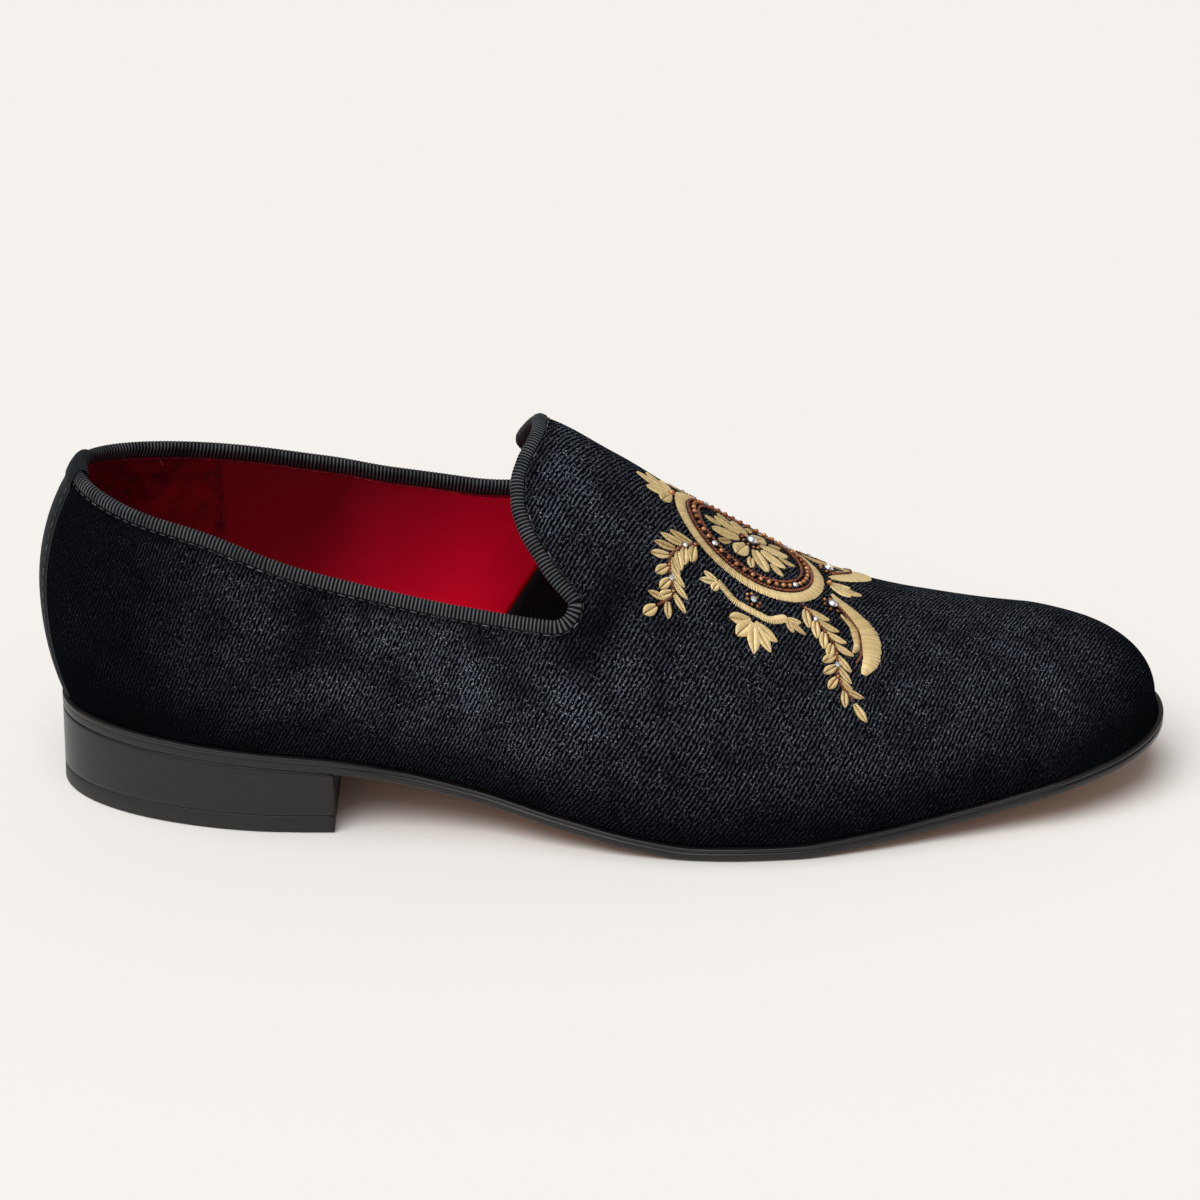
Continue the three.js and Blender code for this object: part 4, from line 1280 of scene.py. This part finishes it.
def spray(line, first, last, gap=3.5):
    """Leaves in pairs along a stem, smaller towards its end."""
    far = np.concatenate([[0], np.cumsum(np.linalg.norm(np.diff(line, axis=0), axis=1))])
    corded(line)
    places_along = np.arange(1.6, far[-1] - 1.0, gap)
    for number, s in enumerate(places_along):
        spot = np.array([np.interp(s, far, line[:, k]) for k in (0, 1)])
        ahead = np.array([np.interp(s + 0.5, far, line[:, k]) for k in (0, 1)])
        angle = math.atan2(*(ahead - spot)[::-1])
        length = first + (last - first) * s / far[-1]
        for turn_side in (-1, 1):
            leaf(spot, angle + turn_side * 0.72, length, length * 0.37)
        if number % 2 == 0:
            beads.append((*spot, 0.42))
        elif number % 4 == 1:
            stones.append((*spot, 0.8))
    tip = line[-1] - line[-3]
    leaf(line[-1], math.atan2(tip[1], tip[0]), last * 1.15, last * 0.5)


def fan(base, angle, size, lobes=5, spread=1.15):
    """A palmette: pointed lobes spread from one base."""
    for k in np.linspace(-1, 1, lobes):
        leaf(np.array(base), angle + k * spread, size * (1 - 0.3 * abs(k)), size * 0.34, 0.85)


# the rosette and its ring
for k in range(8):
    angle = math.pi / 8 + k * math.pi / 4
    leaf(heading(angle) * 2.5, angle, 8.6 if k % 2 else 7.4, 3.9, 0.85)
    leaf(heading(angle + math.pi / 8) * 7.4, angle + math.pi / 8, 4.4, 1.9, 0.6)
stones.append((0, 0, 1.5))
for k in range(10):
    beads.append((*(heading(k * math.pi / 5) * 2.35), 0.42))
band(ring(18.6), 2.9)
corded(ring(16.7), 1.0, 0.3)
corded(ring(13.9), 1.0, 0.3)
for k in range(44):
    spot = heading(k * math.pi / 22) * 15.3
    if k % 11 == 5:
        stones.append((*spot, 0.9))
    else:
        beads.append((*spot, 0.66))

# sprays, palmettes and drops, the same on both sides of the ridge
for up in (1, -1):
    mirror = np.array([1, up])
    spray(bow((-14, 15), (-19, 20), (-22, 27), (-21, 35), (-25, 41)) * mirror, 6.4, 4.6)
    spray(bow((13, 16), (18, 21), (22, 28), (22, 35), (26, 41)) * mirror, 6.4, 4.6)
    band(bow((22, 5), (27, 11), (31, 18), (31.5, 25), (29, 32)) * mirror, 6.0, taper=True)
    band(bow((24, 13), (27.3, 17), (28, 22), (26.5, 26)) * mirror, 2.6, 0.5, taper=True)
    corded(bow((22, 8.5), (26, 13.5), (28.4, 19), (28.6, 25), (27, 29.5)) * mirror)
    band(bow((-9, 24), (-3.5, 27.5), (3.5, 27.5), (9, 24)) * mirror, 2.2)
    for across, spin in ((-9, math.pi * 0.86), (9, math.pi * 0.14)):
        fan(np.array([across, 24.2]) * mirror, -spin * up if up < 0 else spin, 5.2, 3, 0.7)
    fan(np.array([0, 30.4]) * mirror, math.pi / 2 * up, 9.5)
    stones.append((0, 24.0 * up, 1.0))
    stones.append((21.5, 10.5 * up, 1.35))
    for spot, reach in (((0, 24.0 * up), 1.75), ((21.5, 10.5 * up), 2.2)):
        for k in range(7):
            beads.append((*(spot + heading(k * math.pi / 3.5) * reach), 0.45))
for ahead in (1, -1):
    start = np.array([21.2 * ahead, 0])
    fan(start, 0 if ahead > 0 else math.pi, 9.0, 5 if ahead < 0 else 3, 1.2 if ahead < 0 else 0.4)
    beads.append((*start, 0.8))
print("stitches:", len(satin), "cord:", len(cord), "beads:", len(beads), "stones:", len(stones))

# %% Laying the threads, beads and stones
gold_thread = sewing_thread("pale_gold_thread_satin_stitched", "#9C7538", "#EFD69C", 0.42)
gold_thread.node_tree.nodes["Principled BSDF"].inputs["Metallic"].default_value = 0.2
brown_thread = sewing_thread("copper_brown_cord_couched", "#4A1B10", "#B5602E", 0.45)
gold_sheets = Sheets()
for stitches, lift, width, kind in ((satin, 0.36, 0.5, 0), (cord, 0.62, 0.75, 1)):
    table = np.array(stitches)
    starts, outs = on_velvet(table[:, 0:2], 0.02)
    ends, end_outs = on_velvet(table[:, 2:4], 0.02)
    lay_threads(
        gold_sheets, starts, ends, unit(outs + end_outs), lift, width, table[:, 4], 4, kind
    )
gold_sheets.mesh("gold_embroidery", gold_thread, brown_thread, slot="gold_thread")


def round_grid(radius, rows, columns, squash=1.0):
    """Unit grid of a bead or stone, standing along z."""
    rise, turn = np.meshgrid(
        np.linspace(-math.pi / 2, math.pi / 2, rows), np.linspace(0, 2 * math.pi, columns + 1)
    )
    flat = np.cos(rise) * radius
    return np.stack([flat * np.cos(turn), flat * np.sin(turn), np.sin(rise) * radius * squash], -1)


def cut_grid(radius, columns=8):
    """A foil-backed stone: girdle, crown and a flat table."""
    turn = np.linspace(0, 2 * math.pi, columns + 1)[:, None]
    reach = np.array([0.9, 1.0, 0.58, 0.0])[None] * radius
    height = np.array([-0.25, 0.1, 0.55, 0.55])[None] * radius * np.ones_like(turn)
    return np.stack([reach * np.cos(turn), reach * np.sin(turn), height], -1)


def sewn_on(name, spots, make, material, slot, smooth):
    """Puts one small form on the velvet at each spot (forward, outward, radius)."""
    sheets = Sheets()
    table = np.array(spots)
    points, outs = on_velvet(table[:, :2], 0.25)
    for point, out, radius in zip(points, outs, table[:, 2]):
        first = unit(np.cross(out, (0.3, 0.9, 0.1)))
        frame_axes = np.stack([first, np.cross(out, first), out])
        tone = rng.uniform(0, 1)
        shape = make(radius)
        places = np.full(shape.shape[:2] + (2,), tone)
        sheets.grid(point + out * radius * 0.6 + shape @ frame_axes, places=places)
    return sheets.mesh(name, material, slot=slot, smooth=smooth)


copper, copper_tree, copper_shader = finish(
    "copper_beads_polished", Metallic=0.55, Roughness=0.28, IOR=1.5
)
bead_axes = node(copper_tree, "SeparateXYZ", {0: node(copper_tree, "UVMap", uv_map="cloth_mm").outputs[0]})
bead_tone = stops(
    node(copper_tree, "ValToRGB", {0: bead_axes.outputs["X"]}),
    (0.0, colour("#8C4A22")),
    (1.0, colour("#E0A066")),
)
copper_tree.links.new(bead_tone, copper_shader.inputs["Base Color"])
glass, _, _ = finish(
    "clear_stones_foil_backed_glass",
    Base_Color=colour("#E6EBF0"),
    Metallic=0.7,
    Roughness=0.06,
    Coat_Weight=1.0,
)
sewn_on("copper_beads", beads, lambda r: round_grid(r, 7, 10), copper, "copper_beads", True)
sewn_on("clear_stones", stones, cut_grid, glass, "clear_stones", False)

# %% [markdown]
# ## Red sock over the insole
# The foot stands on a sock of the same red leather. It is a soft flat pad that meets the
# walls all round, a little dished under the heel and the ball, as if it had been worn once.

# %% The sock
SOCK_THICK = 3.0
SOCK_Q = fine((-1, 0, 40), (0, 1, 90), (1, 2, 30))


def sock_line(side, level, reach):
    """Points at this share of the way from the ridge line out to the wall."""
    foot = skin(side, SOCK_Q, 0.02 + level * 0.1, UPPER_WALL + SEAT_GAP)
    middle_x = np.clip(foot[:, 0], BACK + HEEL_FAN, BACK + SOLE_LENGTH - TOE_FAN)
    middle_y = ridge_shift(share(middle_x)) * BALL_WIDTH
    x = middle_x + (foot[:, 0] - middle_x) * reach
    y = middle_y + (foot[:, 1] - middle_y) * reach
    dish = 0.8 * (1 - reach**2) * (np.exp(-(((x - 5) / 30) ** 2)) + np.exp(-(((x - 150) / 28) ** 2)))
    z = sole_top(x) + SEAT_GAP + level * SOCK_THICK - dish * level
    return np.stack([x, y, z], 1)


sock_sheets = Sheets()
for side in (OUTER, INNER):
    profile = [sock_line(side, 0, r) for r in np.linspace(0, 1, 8)]
    profile += [sock_line(side, level, 1) for level in (0.3, 0.6, 0.85)]
    profile += [sock_line(side, 1, r) for r in 1 - np.linspace(0.01, 1, 20) ** 1.3]
    sock_sheets.grid(np.stack(profile, 1), flip=side > 0)
sock_sheets.mesh("red_leather_sock", sock_leather, node="insole", slot="red_lining")

# %% [markdown]
# ## Waxed sole edge and leather bottom
# The outsole is cut from bend leather. Its edge is trimmed with a cutter that leaves a small
# bead and a groove along the top, then inked black, waxed and burnished with a hot iron,
# which gives a satin gloss. The profile of the edge is one short table, swept round the
# outline; towards the heel the groove and the round lower edge run out.

# %% The outsole
EDGE_PROFILE = [  # share of the thickness, inset in mm
    (0.0, 1.1),
    (0.03, 0.62),
    (0.09, 0.27),
    (0.17, 0.07),
    (0.26, 0.0),
    (0.42, -0.02),
    (0.55, 0.02),
    (0.6, 0.16),
    (0.64, 0.46),
    (0.68, 0.5),
    (0.71, 0.24),
    (0.76, 0.03),
    (0.84, -0.04),
    (0.92, 0.03),
    (0.97, 0.2),
    (1.0, 0.55),
]
SOLE_Q = fine((-1, 0, 60), (0, 1, 130), (1, 2, 60))


def inset_outline(side, q, inset):
    """The outline moved inwards by inset."""
    small = 1e-4
    x, y = outline(side, q)
    x1, y1 = outline(side, np.clip(q + small, -1, 2))
    x0, y0 = outline(side, np.clip(q - small, -1, 2))
    size = np.hypot(x1 - x0, y1 - y0)
    out_x, out_y = -(y1 - y0) * side / size, (x1 - x0) * side / size
    ends = (q <= -1) | (q >= 2)
    out_x = np.where(ends, np.sign(q), out_x)
    out_y = np.where(ends, 0.0, out_y)
    return x - out_x * inset, y - out_y * inset


def sole_ring(side, part, inset, reach=1.0):
    x0, _ = outline(side, SOLE_Q)
    full = soft_step(x0, BACK + HEEL_LENGTH, BACK + HEEL_LENGTH + 16)
    x, y = inset_outline(side, SOLE_Q, inset * (0.25 + 0.75 * full))
    middle = np.clip(x, BACK + 20, BACK + SOLE_LENGTH - 20)
    x, y = middle + (x - middle) * reach, y * reach
    return np.stack([x, y, sole_under(x) + part * SOLE_THICKNESS], 1)


def waxed_edge(name, dark, light, streak_mm, gloss):
    """Inked, waxed and burnished leather: satin, with fine streaks along the edge."""
    material, tree, shader = finish(name, Roughness=gloss, IOR=1.42)
    shader.inputs["Coat Weight"].default_value = 0.15
    shader.inputs["Coat Roughness"].default_value = 0.3
    place = node(tree, "TexCoord").outputs["Object"]
    mm = node(tree, "VectorMath", {0: place, "Scale": 1000.0}, operation="SCALE").outputs[0]
    long_way = (1 / (streak_mm * 30), 1 / (streak_mm * 30), 1 / streak_mm)
    drawn = node(tree, "VectorMath", {0: mm, 1: long_way}, operation="MULTIPLY").outputs[0]
    streaks = node(tree, "TexNoise", {"Vector": drawn, "Scale": 1.0, "Detail": 4.0})
    dyed = stops(
        node(tree, "ValToRGB", {0: streaks.outputs["Fac"]}),
        (0.3, colour(dark)),
        (0.72, colour(light)),
    )
    tree.links.new(dyed, shader.inputs["Base Color"])
    bump = node(tree, "Bump", {"Height": streaks.outputs["Fac"], "Strength": 0.25, "Distance": 0.0002})
    tree.links.new(bump.outputs[0], shader.inputs["Normal"])
    return material


def bottom_leather():
    material, tree, shader = finish("tan_sole_leather_rolled", Roughness=0.5, IOR=1.5)
    place = node(tree, "TexCoord").outputs["Object"]
    cloud = node(tree, "TexNoise", {"Vector": place, "Scale": 60.0, "Detail": 5.0})
    dyed = stops(
        node(tree, "ValToRGB", {0: cloud.outputs["Fac"]}),
        (0.3, colour("#8C5A38")),
        (0.7, colour("#A87248")),
    )
    tree.links.new(dyed, shader.inputs["Base Color"])
    pores = node(tree, "TexNoise", {"Vector": place, "Scale": 1600.0, "Detail": 2.0})
    bump = node(tree, "Bump", {"Height": pores.outputs["Fac"], "Strength": 0.3, "Distance": 0.0002})
    tree.links.new(bump.outputs[0], shader.inputs["Normal"])
    return material


sole_wax = waxed_edge("black_sole_edge_inked_waxed", "#121010", "#201D1D", 0.5, 0.34)
tan_leather = bottom_leather()
sole_sheets = Sheets()
for side in (OUTER, INNER):
    rings = [sole_ring(side, part, inset) for part, inset in EDGE_PROFILE]
    sole_sheets.grid(np.stack(rings, 1), flip=side > 0)
    for part, inset, turned, which in ((0.0, 1.1, False, 1), (1.0, 0.55, True, 0)):
        lid = [sole_ring(side, part, inset, r) for r in np.linspace(0, 1, 9)]
        sole_sheets.grid(np.stack(lid, 1), flip=(side > 0) != turned, finish=which)
sole_sheets.mesh("leather_outsole", sole_wax, tan_leather, node="outsole", slot="sole_edge")

# %% [markdown]
# ## Stacked heel and rubber top lift
# The heel is built of leather lifts, rasped to shape together and finished like the sole's
# edge, so only faint lines tell them apart. The last layer, the top lift, is rubber and a
# little duller. Both blocks are rings of the outline one over the other, with small rounded
# edges so that light catches them, and a straight breast at the front.

# %% Heel blocks
BREAST_X = BACK + HEEL_LENGTH


def heel_ring(height, inset, front):
    """A ring of the heel's outline: from the breast's middle round the back and home."""
    loops = []
    for side in (OUTER, INNER):
        q = fine((-1, 0, 70), (0, place_of(BREAST_X), 8))
        x, y = inset_outline(side, q, inset)
        x = np.minimum(x, BREAST_X - front)
        corner_x = np.full(10, BREAST_X - front)
        corner_y = np.linspace(y[-1], 0, 11)[1:]
        x, y = np.concatenate([x, corner_x]), np.concatenate([y, corner_y])
        z = height(x)
        loops.append(np.stack([x, y, z], 1))
    return loops


def heel_block(name, rings, *materials, node=None, slot=None):
    sheets = Sheets()
    made = [heel_ring(*ring) for ring in rings]
    for i, side in enumerate((OUTER, INNER)):
        sheets.grid(np.stack([ring[i] for ring in made], 1), flip=side > 0)
        for ring, turned in ((made[0], False), (made[-1], True)):
            line = ring[i]
            lid = [np.stack([line[:, 0], line[:, 1] * r, line[:, 2]], 1) for r in (0, 0.5, 1)]
            sheets.grid(np.stack(lid, 1), flip=(side > 0) != turned)
    return sheets.mesh(name, *materials, node=node, slot=slot)


def flare(height):
    """How far the heel stands out past its top at this height."""
    return HEEL_FLARE * (1 - height / HEEL_RISE)


def level(z):
    return lambda x: np.full_like(x, z)


lift_rings = [
    (level(0.0), 0.5 - flare(0), 0.4),
    (level(0.12), 0.22 - flare(0), 0.16),
    (level(0.45), -flare(0), 0.0),
    (level(LIFT_THICKNESS - 0.35), -flare(LIFT_THICKNESS), 0.0),
    (level(LIFT_THICKNESS - 0.08), 0.1 - flare(LIFT_THICKNESS), 0.1),
    (level(LIFT_THICKNESS), 0.3 - flare(LIFT_THICKNESS), 0.3),
]
stack_foot = LIFT_THICKNESS + 0.06
stack_rings = [
    (level(stack_foot), 0.3 - flare(stack_foot), 0.3),
    (level(stack_foot + 0.08), 0.1 - flare(stack_foot), 0.1),
    (level(stack_foot + 0.35), -flare(stack_foot), 0.0),
]
for part in np.linspace(0.1, 0.94, 10):
    rise = lambda x, part=part: stack_foot + part * (sole_under(x) - 0.05 - stack_foot)
    stack_rings.append((rise, -flare(stack_foot + part * 16), 0.0))
stack_rings.append((lambda x: sole_under(x) - 0.06, 0.02, 0.02))
stack_rings.append((lambda x: sole_under(x) - 0.03, 0.08, 0.06))

heel_wax = waxed_edge("black_heel_leather_rasped_waxed", "#100F0F", "#1D1B1B", 0.45, 0.36)
heel_block("stacked_leather_heel", stack_rings, heel_wax, node="heel_stack", slot="heel_finish")


def moulded_rubber():
    material, tree, shader = finish("black_top_lift_moulded_rubber", Roughness=0.55, IOR=1.52)
    place = node(tree, "TexCoord").outputs["Object"]
    dust_and_glints = node(tree, "TexNoise", {"Vector": place, "Scale": 900.0, "Detail": 3.0})
    dyed = stops(
        node(tree, "ValToRGB", {0: dust_and_glints.outputs["Fac"]}),
        (0.3, colour("#0E0E0E")),
        (0.75, colour("#181717")),
    )
    tree.links.new(dyed, shader.inputs["Base Color"])
    bump = node(tree, "Bump", {"Height": dust_and_glints.outputs["Fac"], "Strength": 0.15, "Distance": 0.0002})
    tree.links.new(bump.outputs[0], shader.inputs["Normal"])
    return material


rubber = moulded_rubber()
heel_block("rubber_top_lift", lift_rings, rubber, node="heel_top_lift", slot="lift_rubber")

# %% [markdown]
# ## Camera, light and floor
# The shoe was photographed from its outer side and a little above, through a long lens, on
# seamless pale paper under one broad soft light. The camera's place was found by laying the
# solids' outline over the photograph's. The paper is one flat sheet, because the camera looks
# down so steeply that it never sees where the paper ends.

# %% Camera at the photograph's angle
camera_data = bpy.data.cameras.new("camera")
camera_data.sensor_width = 36.0
camera_data.lens = 112.8
camera = bpy.data.objects.new("camera", camera_data)
camera.location = (0.10735, -0.8910, 0.5059)
camera.rotation_euler = (math.radians(63), 0, 0)
bpy.context.scene.collection.objects.link(camera)
bpy.context.scene.camera = camera

# %% Paper, sky and lamps
def studio_lamp(name, place, target, size, watts, tint="#FFFFFF"):
    data = bpy.data.lights.new(name, "AREA")
    data.shape, data.size, data.size_y = "RECTANGLE", *size
    data.energy = watts
    data.color = colour(tint)[:3]
    lamp = bpy.data.objects.new(name, data)
    lamp.location = place
    lamp.rotation_euler = (Vector(target) - Vector(place)).to_track_quat("-Z", "Y").to_euler()
    bpy.context.scene.collection.objects.link(lamp)


studio_lamp("front_fill", (-0.5, -1.4, 0.9), (0.1, 0, 0.03), (1.2, 0.9), 1.6)
sky_data = bpy.data.lights.new("broad_top_light", "SUN")
sky_data.energy = 2.58
sky_data.angle = math.radians(55)
sky = bpy.data.objects.new("broad_top_light", sky_data)
sky.rotation_euler = Vector((0.3, 0.32, -1.0)).to_track_quat("-Z", "Y").to_euler()
bpy.context.scene.collection.objects.link(sky)
world = bpy.data.worlds.new("pale_room")
world.use_nodes = True
world.node_tree.nodes["Background"].inputs[0].default_value = colour("#FBF8F4")
world.node_tree.nodes["Background"].inputs[1].default_value = 0.26
bpy.context.scene.world = world
# colours are shown as they were mixed, with no film curve over them
bpy.context.scene.view_settings.view_transform = "Standard"

paper = bpy.data.meshes.new("seamless_paper")
paper.from_pydata([(-4, -4, 0), (4, -4, 0), (4, 6, 0), (-4, 6, 0)], [], [(0, 1, 2, 3)])
floor = bpy.data.objects.new("seamless_paper", paper)
bpy.context.scene.collection.objects.link(floor)
paper_material, paper_tree, paper_shader = finish("pale_uncoated_paper", Roughness=0.95)
paper_shader.inputs["Specular IOR Level"].default_value = 0.05
paper_shader.inputs["Base Color"].default_value = colour("#F4F1ED")
paper.materials.append(paper_material)
